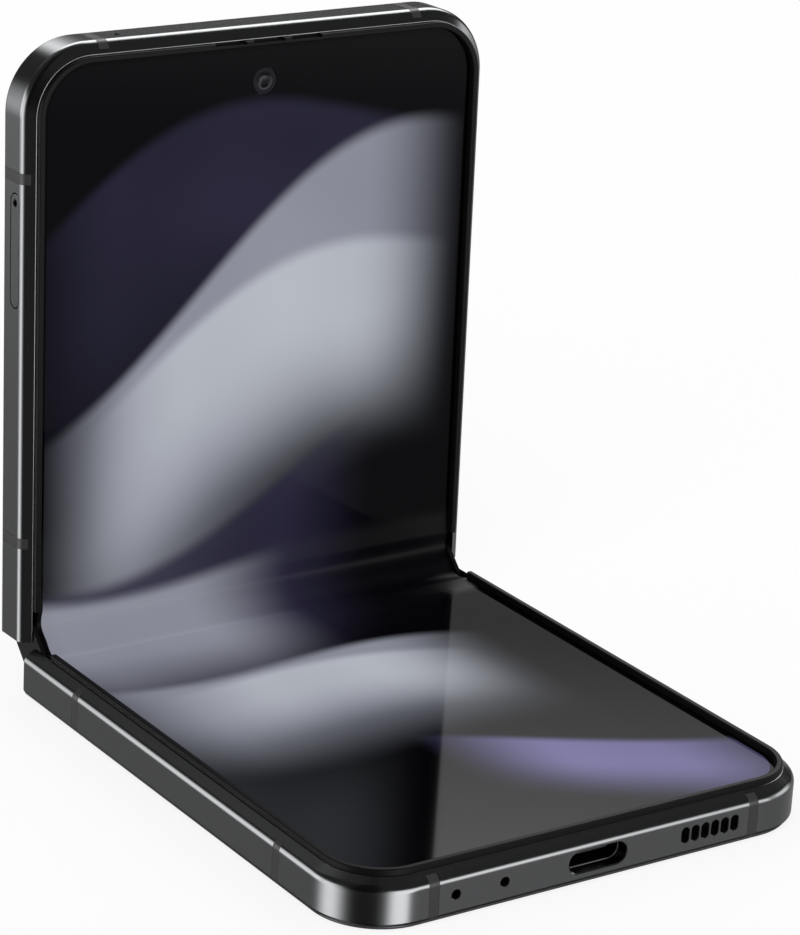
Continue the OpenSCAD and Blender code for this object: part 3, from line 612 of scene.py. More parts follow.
class ShapeTree(NodeBook):
    """A Geometry Nodes tree with named inputs that ends in Realize Instances and Set Material."""

    def __init__(self, name: str) -> None:
        """Starts the tree.

        Args:
            name: name of the tree.
        """
        group = bpy.data.node_groups.new(name, "GeometryNodeTree")
        super().__init__(group)
        for way in ("INPUT", "OUTPUT"):
            group.interface.new_socket("Geometry", in_out=way, socket_type="NodeSocketGeometry")
        self.entry = group.nodes.new("NodeGroupInput")
        self.base = Socket(self, self.entry.outputs["Geometry"])

    def size(self, name: str, kind: str = "Float") -> Socket:
        """Adds a named input of a kind, Float or Int, wrapped for maths."""
        self.tree.interface.new_socket(name, in_out="INPUT", socket_type=f"NodeSocket{kind}")
        return Socket(self, self.entry.outputs[name])

    def sizes(self, *names: str) -> list[Socket]:
        """Adds several named lengths."""
        return [self.size(name) for name in names]

    def vector(self, x: object = 0.0, y: object = 0.0, z: object = 0.0) -> Socket:
        """A vector of three numbers."""
        return self.node("ShaderNodeCombineXYZ", None, {0: x, 1: y, 2: z})

    def moved(self, geometry: Socket, by: Socket | Sequence[float] = (0, 0, 0),
              turn: Sequence[float] = (0, 0, 0)) -> Socket:
        """Moves and turns geometry."""
        return self.node("GeometryNodeTransform", None, {
            "Geometry": geometry, "Translation": by, "Rotation": turn})

    def joined(self, *parts: Socket) -> Socket:
        """Joins geometry.

        Args:
            parts: what is joined.

        Returns:
            All of it.
        """
        node = self.tree.nodes.new("GeometryNodeJoinGeometry")
        for part in parts:
            self.tree.links.new(part.link, node.inputs[0])
        return Socket(self, node.outputs[0])

    def copies(self, points: Socket, shape: Socket) -> Socket:
        """Puts a shape on each point."""
        return self.node("GeometryNodeInstanceOnPoints", None, {"Points": points, "Instance": shape})

    def rows(self, shape: Socket, pitch: Socket) -> Socket:
        """A row of copies along x from each base point, with its count as a named input.

        Args:
            shape: what is copied.
            pitch: distance from copy to copy.

        Returns:
            The rows.
        """
        count = self.size("Count", "Int")
        line = self.node("GeometryNodeMeshLine", None, {"Count": count, "Offset": self.vector(pitch)})
        return self.copies(self.base, self.copies(line, shape))

    def box(self, x: Socket, y: Socket, z: Socket) -> Socket:
        """A box about the origin."""
        return self.node("GeometryNodeMeshCube", None, {"Size": self.vector(x, y, z)})

    def rectangle(self, width: Socket, height: Socket) -> Socket:
        """A rectangular outline."""
        return self.node("GeometryNodeCurvePrimitiveQuadrilateral", None, {"Width": width, "Height": height})

    def circle(self, count: int, radius: Socket) -> Socket:
        """A round outline of so many points."""
        return self.node("GeometryNodeCurvePrimitiveCircle", None, {"Resolution": count, "Radius": radius})

    def filleted(self, curve: Socket, radius: Socket, count: int) -> Socket:
        """Rounds a curve's corners."""
        return self.node("GeometryNodeFilletCurve", {"mode": "POLY"}, {
            "Curve": curve, "Radius": radius, "Count": count, "Limit Radius": False})

    def swept(self, path: Socket, outline: Socket) -> Socket:
        """An outline swept along a path, with a face at each end of an open one."""
        return self.node("GeometryNodeCurveToMesh", None, {
            "Curve": path, "Profile Curve": outline, "Fill Caps": True})

    def finish(self, geometry: Socket, paint: bpy.types.Material) -> None:
        """Ends the tree.

        Args:
            geometry: its result.
            paint: material of the result.
        """
        real = self.node("GeometryNodeRealizeInstances", None, {"Geometry": geometry})
        painted = self.node("GeometryNodeSetMaterial", None, {"Geometry": real, "Material": paint})
        self.tree.links.new(painted.link, self.tree.nodes.new("NodeGroupOutput").inputs[0])

    def run(self, name: str, values: dict[str, float], points: Sequence[Sequence[float]] = (),
            edges: Sequence[Sequence[int]] = ()) -> bpy.types.Object:
        """Runs the tree once and keeps its result as a plain mesh.

        Args:
            name: name of the piece.
            values: the named inputs.
            points: points that the tree starts from.
            edges: edges between them.

        Returns:
            The piece, in drawing coordinates.
        """
        mesh = bpy.data.meshes.new(name)
        mesh.from_pydata([tuple(p) for p in points], [tuple(e) for e in edges], [])
        obj = make_object(name, mesh)
        modifier = obj.modifiers.new("shape", "NODES")
        modifier.node_group = self.tree
        for item in self.tree.interface.items_tree:
            if item.in_out == "INPUT" and item.name in values:
                modifier[item.identifier] = values[item.name]
        keep_result(obj)
        return obj


Colour = tuple[float, float, float, float]
COAT_ROUGHNESS = 0.05
BUMP_HEIGHT = 0.00002  # metres


def grey(value: float, blue: float = 0.0) -> Colour:
    """A grey, with a touch of blue."""
    return (value * (1 - blue), value, value * (1 + blue), 1.0)


@dataclass(frozen=True)
class Finish:
    """A finish of the phone: colour, gloss and fine grain."""

    name: str
    colour: Colour
    metallic: float = 0.0
    roughness: float = 0.4
    spread: float = 0.03
    grain: float = 600.0
    bump: float = 0.0
    coat: float = 0.0
    specular: float = 0.5
    mottle: float = 0.06

    def build(self) -> bpy.types.Material:
        """Makes the material.

        Returns:
            The material.
        """
        material = bpy.data.materials.new(self.name)
        material.use_nodes = True
        book = NodeBook(material.node_tree)
        grain = book.noise(self.grain, 3.0)
        inputs = {
            "Base Color": book.mix(grain, self.shade(1 - self.mottle), self.shade(1 + self.mottle)),
            "Metallic": self.metallic,
            "Roughness": grain * (2 * self.spread) + (self.roughness - self.spread),
            "Coat Weight": self.coat, "Coat Roughness": COAT_ROUGHNESS,
            "Specular IOR Level": self.specular,
        }
        if self.bump > 0:
            height = book.noise(self.grain * 3, 2.0)
            inputs["Normal"] = book.node("ShaderNodeBump", None, {
                "Strength": self.bump, "Distance": BUMP_HEIGHT, "Height": height})
        self.dress(book, inputs)
        surface = book.node("ShaderNodeBsdfPrincipled", None, inputs)
        book.close("ShaderNodeOutputMaterial", surface)
        return material

    def shade(self, share: float) -> Colour:
        """The colour, so many times as light."""
        return tuple(min(1.0, c * share) for c in self.colour[:3]) + (1.0,)

    def dress(self, book: NodeBook, inputs: dict) -> None:
        """Finishes with more to them change the shader's inputs here."""


def round_box(x: Socket, y: Socket, wide: float, long: float, corner: float, edge: float) -> Socket:
    """1 inside a rectangle of two half sizes with round corners, 0 outside, and a step across its edge."""
    dx, dy = (x.abs() - (wide - corner)).most(0.0), (y.abs() - (long - corner)).most(0.0)
    return ((dx * dx + dy * dy) ** 0.5).ramp(corner + edge, corner - edge)


@dataclass(frozen=True)
class Ribbon:
    """A winding ribbon of light with one crisp and one fading side, in cm of the flat screen."""

    tone: str
    middle: float
    slope: float
    swing: float
    phase: float
    width: float
    soft: float
    strength: float
    start: float
    end: float
    wave: float = 0.62
    reach: float = 0.4
    crisp: Pair = (0.16, -0.12)
    end_fade: float = 0.9

    def glow(self, x: Socket, y: Socket) -> Socket:
        """The ribbon's strength.

        Args:
            x: across the screen.
            y: along the screen.

        Returns:
            Its strength.
        """
        line = y - (x * self.slope + (x * self.wave + self.phase).sin() * self.swing + self.middle)
        fading = line.ramp(-self.soft, self.width * self.reach)
        across = fading * line.ramp(self.width + self.crisp[0], self.width + self.crisp[1])
        fade = self.end_fade
        ends = x.ramp(self.start - fade, self.start + fade) * x.ramp(self.end + fade, self.end - fade)
        return across * ends * self.strength


@dataclass(frozen=True)
class LitGlass(Finish):
    """Glossy display glass over a lit wallpaper, read from the piece's UV map in cm from the hinge line."""

    half_width: float = 3.275
    half_length: float = 7.94
    corner: float = 0.64
    edge: float = 0.004
    film_ends: Pair = (1.1, 0.6)  # where the fold's softer gloss starts and is full, cm from the hinge line
    film_roughness: float = 0.4
    drift: float = 0.32
    ribbons: tuple[Ribbon, ...] = (
        Ribbon("dusk", 4.6, 0.30, 0.9, 2.2, 1.9, 2.4, 0.8, -3.0, 2.4),
        Ribbon("cool", 2.0, 0.36, 1.0, 0.6, 3.0, 1.9, 0.95, -2.6, 2.5),
        Ribbon("pale", 2.6, 0.32, 0.8, 1.3, 1.4, 1.6, 0.9, -1.9, 2.3),
        Ribbon("dusk", -0.4, 0.25, 0.6, -0.5, 2.2, 2.0, 0.9, -3.6, 1.2),
        Ribbon("cool", -0.9, -0.1, 0.4, 0.2, 1.5, 1.7, 0.9, -3.8, -0.2),
        Ribbon("cool", -3.9, -0.32, 0.7, 0.4, 1.7, 1.5, 0.85, -3.2, 1.6),
        Ribbon("pale", -3.6, -0.28, 0.6, 1.0, 0.9, 1.1, 0.8, -2.0, 1.2),
        Ribbon("violet", -6.4, -0.30, 0.5, 2.6, 1.1, 1.0, 0.95, 0.3, 3.0),
    )

    def dress(self, book: NodeBook, inputs: dict) -> None:
        """Adds the lit wallpaper inside the black border, and the softer gloss of the foldable film.

        Args:
            book: the material's nodes.
            inputs: the shader's inputs.
        """
        x, y, _ = book.split(book.node("ShaderNodeUVMap", {"uv_map": "screen"}))
        inputs["Emission Color"] = book.mix(self.lit_area(x, y), (0, 0, 0, 1), self.wallpaper(book, x, y))
        inputs["Emission Strength"] = 1.0
        inputs["Roughness"] = inputs["Roughness"] + y.abs().ramp(*self.film_ends) * self.film_roughness

    def lit_area(self, x: Socket, y: Socket) -> Socket:
        """1 inside the lit area, which has round corners, and 0 in the border."""
        return round_box(x, y, self.half_width, self.half_length, self.corner, self.edge)

    def wallpaper(self, book: NodeBook, x: Socket, y: Socket) -> Socket:
        """Overlapping ribbons of silver and violet light on black.

        Args:
            book: the material's nodes.
            x: across the screen.
            y: along the screen.

        Returns:
            The picture's colour.
        """
        picture = book.mix((y * 0.06 + 0.5).clamp(), (0.0006, 0.0006, 0.001, 1), (0.0012, 0.0012, 0.002, 1))
        at = book.node("ShaderNodeCombineXYZ", None, {0: x, 1: y})
        drift = book.noise(self.drift, 1.0, 0.4, at)
        tones = {
            "cool": book.mix(drift, (0.20, 0.21, 0.26, 1), (0.34, 0.35, 0.41, 1)),
            "pale": book.mix(drift, (0.38, 0.40, 0.45, 1), (0.55, 0.58, 0.63, 1)),
            "violet": book.mix(drift, (0.10, 0.09, 0.22, 1), (0.22, 0.20, 0.42, 1)),
            "dusk": book.mix(drift, (0.012, 0.011, 0.022, 1), (0.035, 0.032, 0.07, 1)),
        }
        for ribbon in self.ribbons:
            picture = book.mix(ribbon.glow(x, y), picture, tones[ribbon.tone])
        return picture


@dataclass(frozen=True)
class Frosted(Finish):
    """Frosted glass over a metallic coat."""

    cloud_grain: float = 35.0
    cloud_tone: float = 1.12

    def dress(self, book: NodeBook, inputs: dict) -> None:
        """Adds slow clouds to the coat's colour."""
        clouds = book.noise(self.cloud_grain, 2.0)
        inputs["Base Color"] = book.mix(clouds, self.colour, self.shade(self.cloud_tone))


@dataclass(frozen=True)
class WindowBack(Frosted):
    """Frosted glass with a clear dark window for the outer display, read from the piece's UV map in cm."""

    half_width: float = 3.195
    start: float = 1.65
    end: float = 6.905
    corner: float = 0.35
    tab: Pair = (0.015, 6.255)
    edge: float = 0.006
    clear_tone: float = 0.004
    clear_roughness: float = 0.05

    def dress(self, book: NodeBook, inputs: dict) -> None:
        """Adds the window with its cut-out beside the cameras.

        Args:
            book: the material's nodes.
            inputs: the shader's inputs.
        """
        super().dress(book, inputs)
        x, y, _ = book.split(book.node("ShaderNodeUVMap", {"uv_map": "back"}))
        middle, half = (self.start + self.end) / 2, (self.end - self.start) / 2
        inside = round_box(x, y - middle, self.half_width, half, self.corner, self.edge)
        across, above = (c.ramp(tab - self.edge, tab + self.edge) for c, tab in zip((x, y), self.tab))
        mask = inside * (1 - across * above)
        inputs["Base Color"] = book.mix(mask, inputs["Base Color"], grey(self.clear_tone))
        inputs["Roughness"] = inputs["Roughness"] * (1 - mask) + mask * self.clear_roughness
        inputs["Metallic"] = (1 - mask) * self.metallic
        inputs["Coat Weight"] = (1 - mask) * self.coat


FINISHES = {
    "rail": Finish("graphite_rail", grey(0.225, 0.02), 1.0, 0.2, 0.004, 900, mottle=0.015),
    # the inside of the rail: near-black, far darker than machined metal, as painted shade for the shaded
    # hollow inside the rail
    "rail_inside_painted_shade": Finish("machined_inside_painted_shade", grey(0.03), 0.6, 0.45, 0.03, 1500, mottle=0.08),
    "band": Finish("antenna_plastic", grey(0.035), 0.0, 0.34, 0.04, 2500, specular=0.4, mottle=0.08),
    "back": Frosted("frosted_back", grey(0.10, 0.04), 0.55, 0.36, 0.02, 4000, coat=0.35, mottle=0.03),
    "rim": Finish("matt_rim", grey(0.005), 0.0, 0.42, 0.05, 3500, bump=0.15, specular=0.1, mottle=0.1),
    "screen": LitGlass("lit_screen", grey(0.0006), 0.0, 0.06, 0.004, 300, specular=0.12, mottle=0.02),
    "window_back": WindowBack("frosted_back_with_window", grey(0.10, 0.04), 0.55, 0.36, 0.02, 4000, coat=0.35,
                              mottle=0.03),
    "polished": Finish("polished_ring", grey(0.30, 0.02), 1.0, 0.1, 0.01, 1200, mottle=0.02),
    "bright_steel": Finish("shell_steel", grey(0.08), 1.0, 0.36, 0.03, 3000, mottle=0.03),
    "front_lens": Finish("front_lens", (0.006, 0.006, 0.010, 1), 0.0, 0.14, 0.01, 800, specular=0.2,
                         mottle=0.2),
    "cover_screen": Finish("cover_screen", grey(0.003), 0.0, 0.05, 0.004, 300, coat=1.0, mottle=0.02),
    "steel": Finish("brushed_steel", grey(0.55), 1.0, 0.28, 0.04, 3000, bump=0.05, mottle=0.05),
    "gear_steel": Finish("gear_steel", grey(0.42), 1.0, 0.3, 0.04, 3000, mottle=0.05),
    "spine": Finish("spine_metal", grey(0.07, 0.02), 1.0, 0.16, 0.015, 1200, mottle=0.03),
    "cap": Finish("cap_lacquer", grey(0.004, 0.02), 0.0, 0.38, 0.02, 1200, specular=0.2, mottle=0.03),
    "battery": Finish("battery_film", grey(0.03), 0.0, 0.5, 0.05, 900, bump=0.1, mottle=0.15),
    "copper": Finish("coil_copper", (0.70, 0.30, 0.14, 1), 1.0, 0.3, 0.05, 2500, mottle=0.1),
    "board": Finish("solder_resist", (0.012, 0.09, 0.045, 1), 0.0, 0.35, 0.05, 2500, bump=0.2, mottle=0.2),
    "black": Finish("moulded_black", grey(0.018), 0.0, 0.45, 0.05, 2500, bump=0.1, mottle=0.1),
    "tongue": Finish("socket_tongue", grey(0.06), 0.0, 0.4, 0.05, 2500, mottle=0.1),
    "mesh": Finish("sound_mesh", grey(0.05), 0.8, 0.5, 0.08, 9000, bump=0.5, mottle=0.4),
    "gold": Finish("gold_can", (0.80, 0.55, 0.22, 1), 1.0, 0.28, 0.04, 2500, mottle=0.05),
    "microphone": Finish("dulled_can", (0.05, 0.04, 0.02, 1), 0.6, 0.5, 0.04, 2500, mottle=0.05),
    "magnet": Finish("nickel", grey(0.45), 1.0, 0.25, 0.04, 2500, mottle=0.05),
    "flex": Finish("flex_film", (0.42, 0.17, 0.03, 1), 0.0, 0.35, 0.05, 1500, mottle=0.15),
    "lens": Finish("coated_lens", (0.004, 0.004, 0.010, 1), 0.0, 0.03, 0.004, 400, coat=1.0, specular=0.8,
                   mottle=0.2),
    "flash": Finish("flash_lens", (0.80, 0.74, 0.52, 1), 0.0, 0.3, 0.05, 5000, bump=0.4, mottle=0.1),
    "card": Finish("card_plastic", grey(0.62), 0.0, 0.45, 0.05, 2500, mottle=0.05),
    "key": Finish("key_metal", grey(0.175, 0.02), 1.0, 0.24, 0.02, 1500, mottle=0.04),
}


class Paints:
    """Materials made once, on first use."""

    made: dict[str, bpy.types.Material] = {}

    @classmethod
    def get(cls, name: str) -> bpy.types.Material:
        """Makes a finish's material the first time that it is asked for.

        Args:
            name: name of the finish.

        Returns:
            The material.
        """
        if name not in cls.made:
            cls.made[name] = FINISHES[name].build()
        return cls.made[name]


def dress(obj: bpy.types.Object, place: Place, finish: str, body: str, slot: str, *nodes: str,
          angle: float = 32.0) -> bpy.types.Object:
    """Puts a drawn piece in place, shades it and hands it over.

    Args:
        obj: the piece, in drawing coordinates.
        place: the part of the phone it is drawn for.
        finish: name of its finish.
        body: CAD body that it rides on.
        slot: the record's material slot.
        nodes: CAD nodes that it stands for.
        angle: edges sharper than this stay sharp, in degrees.

    Returns:
        The piece.
    """
    set_in_place(obj, place)
    soft_shade(obj, angle)
    return hand_over(obj, finish, body, slot, *nodes)


def hand_over(obj: bpy.types.Object, finish: str, body: str, slot: str, *nodes: str) -> bpy.types.Object:
    """Paints a finished piece and puts it on its body.

    Args:
        obj: the piece, in place.
        finish: name of its finish.
        body: CAD body that it rides on.
        slot: the record's material slot; not used.
        nodes: CAD nodes that it stands for.

    Returns:
        The piece.
    """
    if not obj.data.materials:
        obj.data.materials.append(Paints.get(finish))
    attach(obj, body)
    if nodes:
        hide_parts(*nodes)
    log.info("piece %s on %s: %d faces", obj.name, body, len(obj.data.polygons))
    return obj


# ---------- shapes by rule ----------


class RimSweep(ShapeTree):
    """A rim with rounded edges, swept along a U with rounded corners."""

    def __init__(self) -> None:
        """Builds the tree; the base points are the U's four corners, scaled by the named sizes."""
        super().__init__("rim sweep")
        half, start, end, corner, wide, high, edge, level = self.sizes(
            "Half width", "Start", "End", "Corner radius", "Rim width", "Rim height", "Edge radius", "Level")
        x, y, _ = self.split(self.node("GeometryNodeInputPosition"))
        at = self.vector(x * half, start + y * (end - start), level)
        path = self.node("GeometryNodeMeshToCurve", None, {
            "Mesh": self.node("GeometryNodeSetPosition", None, {"Geometry": self.base, "Position": at})})
        outline = self.filleted(self.rectangle(wide, high), edge, 7)
        self.finish(self.swept(self.filleted(path, corner, 40), outline), Paints.get("rim"))

    def build(self, name: str, values: dict[str, float]) -> bpy.types.Object:
        """Makes a rim, in drawing coordinates, from the named inputs."""
        corners = [(-1, 0, 0), (-1, 1, 0), (1, 1, 0), (1, 0, 0)]
        return self.run(name, values, corners, [(0, 1), (1, 2), (2, 3)])


class SoundMesh(ShapeTree):
    """Perforated metal sheet with round ends and holes in staggered rows."""

    def __init__(self) -> None:
        """Builds the tree."""
        super().__init__("perforated sheet")
        even_start, margin, touching = 100, 0.6, 0.02  # row number of the middle; edge and weld, in pitches
        length, width, pitch, hole, thick = self.sizes("Length", "Width", "Pitch", "Hole radius", "Thickness")
        columns, rows = self.size("Columns", "Int"), self.size("Rows", "Int")
        step = pitch * math.sqrt(0.75)
        grid = self.node("GeometryNodeMeshGrid", None, {
            "Size X": pitch * (columns - 1), "Size Y": step * (rows - 1),
            "Vertices X": columns, "Vertices Y": rows})
        x, y, _ = self.split(self.node("GeometryNodeInputPosition"))
        row = self.maths("ROUND", y / step + even_start)
        odd = self.maths("MODULO", row, 2.0)
        grid = self.node("GeometryNodeSetPosition", None, {
            "Geometry": grid, "Offset": self.vector(odd * pitch * 0.5 - pitch * 0.25)})
        beyond = (x.abs() - (length - width) / 2).most(0.0)
        outside = self.maths("GREATER_THAN", (beyond * beyond + y * y) ** 0.5, width / 2 - pitch * margin)
        points = self.node("GeometryNodeDeleteGeometry", {"domain": "POINT"}, {
            "Geometry": grid, "Selection": outside})
        cell = self.moved(self.circle(6, pitch / math.sqrt(3)), turn=(0, 0, math.radians(30)))
        flat = self.node("GeometryNodeFillCurve", None, {"Curve": self.joined(cell, self.circle(8, hole))})
        sheet = self.node("GeometryNodeRealizeInstances", None, {"Geometry": self.copies(points, flat)})
        sheet = self.merged(sheet, pitch * touching)
        top = self.node("GeometryNodeExtrudeMesh", None, {
            "Mesh": sheet, "Offset Scale": thick, "Individual": False})
        under = self.node("GeometryNodeFlipFaces", None, {"Mesh": sheet})
        self.finish(self.merged(self.joined(top, under), pitch * touching), Paints.get("mesh"))

    def merged(self, geometry: Socket, distance: Socket) -> Socket:
        """Joins points that touch."""
        return self.node("GeometryNodeMergeByDistance", None, {"Geometry": geometry, "Distance": distance})

    def build(self, name: str, length: float, width: float, pitch: float, thick: float) -> bpy.types.Object:
        """Makes a sheet of a length and width, flat about its middle, with its holes a pitch apart."""
        return self.run(name, {
            "Length": length, "Width": width, "Pitch": pitch, "Hole radius": pitch * 0.3, "Thickness": thick,
            "Columns": int(length / pitch) + 2, "Rows": int(width / pitch / 0.85) + 2})


class Screws(ShapeTree):
    """Cross-recessed screws on points, heads down."""

    def __init__(self) -> None:
        """Builds the tree."""
        super().__init__("screws")
        sunk, cross = 0.05, 4.2  # how far the shank reaches into the head; the recess's length in its widths
        head_r, head_t, shank_r, shank_l, recess = self.sizes(
            "Head radius", "Head height", "Shank radius", "Shank length", "Recess width")
        shank = self.rod(shank_r, shank_l, shank_l * 0.5 - sunk)
        head = self.rod(head_r, head_t, head_t * -0.5)
        arms = [self.box(recess, recess * cross, head_t), self.box(recess * cross, recess, head_t)]
        slotted = self.tree.nodes.new("GeometryNodeMeshBoolean")
        slotted.operation = "DIFFERENCE"
        slotted.solver = "EXACT"
        self.tree.links.new(head.link, slotted.inputs["Mesh 1"])
        for arm in arms:
            sunken = self.moved(arm, self.vector(z=head_t * -1.0))
            self.tree.links.new(sunken.link, slotted.inputs["Mesh 2"])
        screw = self.joined(Socket(self, slotted.outputs[0]), shank)
        self.finish(self.copies(self.base, screw), Paints.get("steel"))

    def rod(self, radius: Socket, length: Socket, middle: Socket) -> Socket:
        """An upright rod about a middle height."""
        rod = self.node("GeometryNodeMeshCylinder", None, {"Vertices": 24, "Radius": radius, "Depth": length})
        return self.moved(rod, self.vector(z=middle))


class Coil(ShapeTree):
    """Flat winding along a spiral."""

    def __init__(self) -> None:
        """Builds the tree."""
        super().__init__("coil")
        inner, outer, turns, wire, thick = self.sizes(
            "Inner radius", "Outer radius", "Turns", "Wire width", "Thickness")
        spiral = self.node("GeometryNodeCurveSpiral", None, {
            "Resolution": 48, "Rotations": turns, "Height": 0.0,
            "Start Radius": inner + wire / 2, "End Radius": outer - wire / 2})
        outline = self.filleted(self.rectangle(wire, thick), thick * 0.3, 2)
        self.finish(self.swept(spiral, outline), Paints.get("copper"))


class Stacks(ShapeTree):
    """Stacks of spring washers along x, one from each point."""

    def __init__(self) -> None:
        """Builds the tree."""
        super().__init__("washer stacks")
        bore, outer, thick, pitch = self.sizes("Bore radius", "Outer radius", "Thickness", "Pitch")
        washer = self.swept(self.circle(32, (bore + outer) / 2), self.rectangle(outer - bore, thick))
        washer = self.moved(washer, turn=(0, math.radians(90), 0))
        self.finish(self.rows(washer, pitch), Paints.get("steel"))


class Contacts(ShapeTree):
    """Rows of flat contacts along x, one row from each point."""

    def __init__(self) -> None:
        """Builds the tree."""
        super().__init__("contacts")
        wide, long, thick, pitch = self.sizes("Width", "Length", "Thickness", "Pitch")
        self.finish(self.rows(self.box(wide, long, thick), pitch), Paints.get("gold"))


# ---------- the phone ----------


@dataclass
class Sizes:
    """Driving sizes of one half in mm, drawn from the hinge line."""

    half_w: float = 35.95
    half_l: float = 82.55
    corner: float = 9.5
    wall: float = 1.6
    bottom: float = 0.5
    top: float = 6.6
    front_r: float = 1.6
    front_h: float = 1.75
    crest_r: float = 0.22
    bevel: float = 56.0
    back_r: float = 0.55
    rail_end: float = 0.9
    band_w: float = 1.5
    band_depth: float = 1.0
    band_v: Pair = (15.0, 65.2)
    band_x: float = 24.4
    glass_inset: float = 0.45
    lip_end: float = 0.5
    bezel_out: float = 1.65
    bezel_w: float = 0.82
    bezel_z: float = 5.87
    bezel_top: float = 7.45
    bezel_end: float = 5.45
    screen_inset: float = 2.52
    screen_top: float = 6.5
    screen_t: float = 0.35
    bend: float = 5.5
    port_z: float = 3.2
    camera_v: float = 75.1
    camera_r: float = 1.9


SIZE = Sizes()


@dataclass
class RailPath:
    """The U that a rail follows, and the directions along it."""

    size: Sizes = field(default_factory=Sizes)
    corner_steps: int = 48

    def stations(self, start: float) -> list[tuple[float, float, float, float]]:
        """Points on the outer edge with their inward directions.

        Args:
            start: hinge end of the rails.

        Returns:
            x, v and the inward direction's x and v, from the -x side round to the +x side.
        """
        s = self.size
        out = [(-s.half_w, start, 1.0, 0.0)]
        cx, cv = s.half_w - s.corner, s.half_l - s.corner
        for side, first in ((-1, 180), (1, 90)):
            for k in range(self.corner_steps + 1):
                a = math.radians(first - 90 * k / self.corner_steps)
                c, d = math.cos(a), math.sin(a)
                out.append((side * cx + s.corner * c, cv + s.corner * d, -c, -d))
        out.append((s.half_w, start, -1.0, 0.0))
        return out

    def sweep(self, section: Sequence[Pair], start: float) -> Solid:
        """A solid along the U from its hinge end on, through a ring of inset and height pairs."""
        return loft([self.placed(section, station) for station in self.stations(start)])

    @staticmethod
    def placed(section: Sequence[Pair], station: Sequence[float]) -> np.ndarray:
        """A section at a station, as rows of x, v, z."""
        x, v, nx, nv = station
        return np.array([(x + nx * t, v + nv * t, z) for t, z in section])

    def inset(self, points: np.ndarray) -> tuple[np.ndarray, np.ndarray]:
        """Distance in from the outer edge, and the outward direction, of points.

        Args:
            points: rows of x, v, z.

        Returns:
            Insets and rows of outward x and v.
        """
        s = self.size
        cx, cv = s.half_w - s.corner, s.half_l - s.corner
        dx, dv = np.abs(points[:, 0]) - cx, points[:, 1] - cv
        sign = np.sign(points[:, 0])
        round_part = (dx > 0) & (dv > 0)
        reach = np.hypot(np.where(round_part, dx, 0), np.where(round_part, dv, 0))
        reach = np.where(reach < 1e-9, 1.0, reach)
        side = ~round_part & (s.half_w - np.abs(points[:, 0]) < s.half_l - points[:, 1])
        inset = np.where(round_part, s.corner - reach, np.where(side, s.corner - dx, s.corner - dv))
        out_x = np.where(round_part, sign * dx / reach, np.where(side, sign, 0.0))
        out_v = np.where(round_part, dv / reach, np.where(side, 0.0, 1.0))
        return inset, np.stack([out_x, out_v], axis=1)


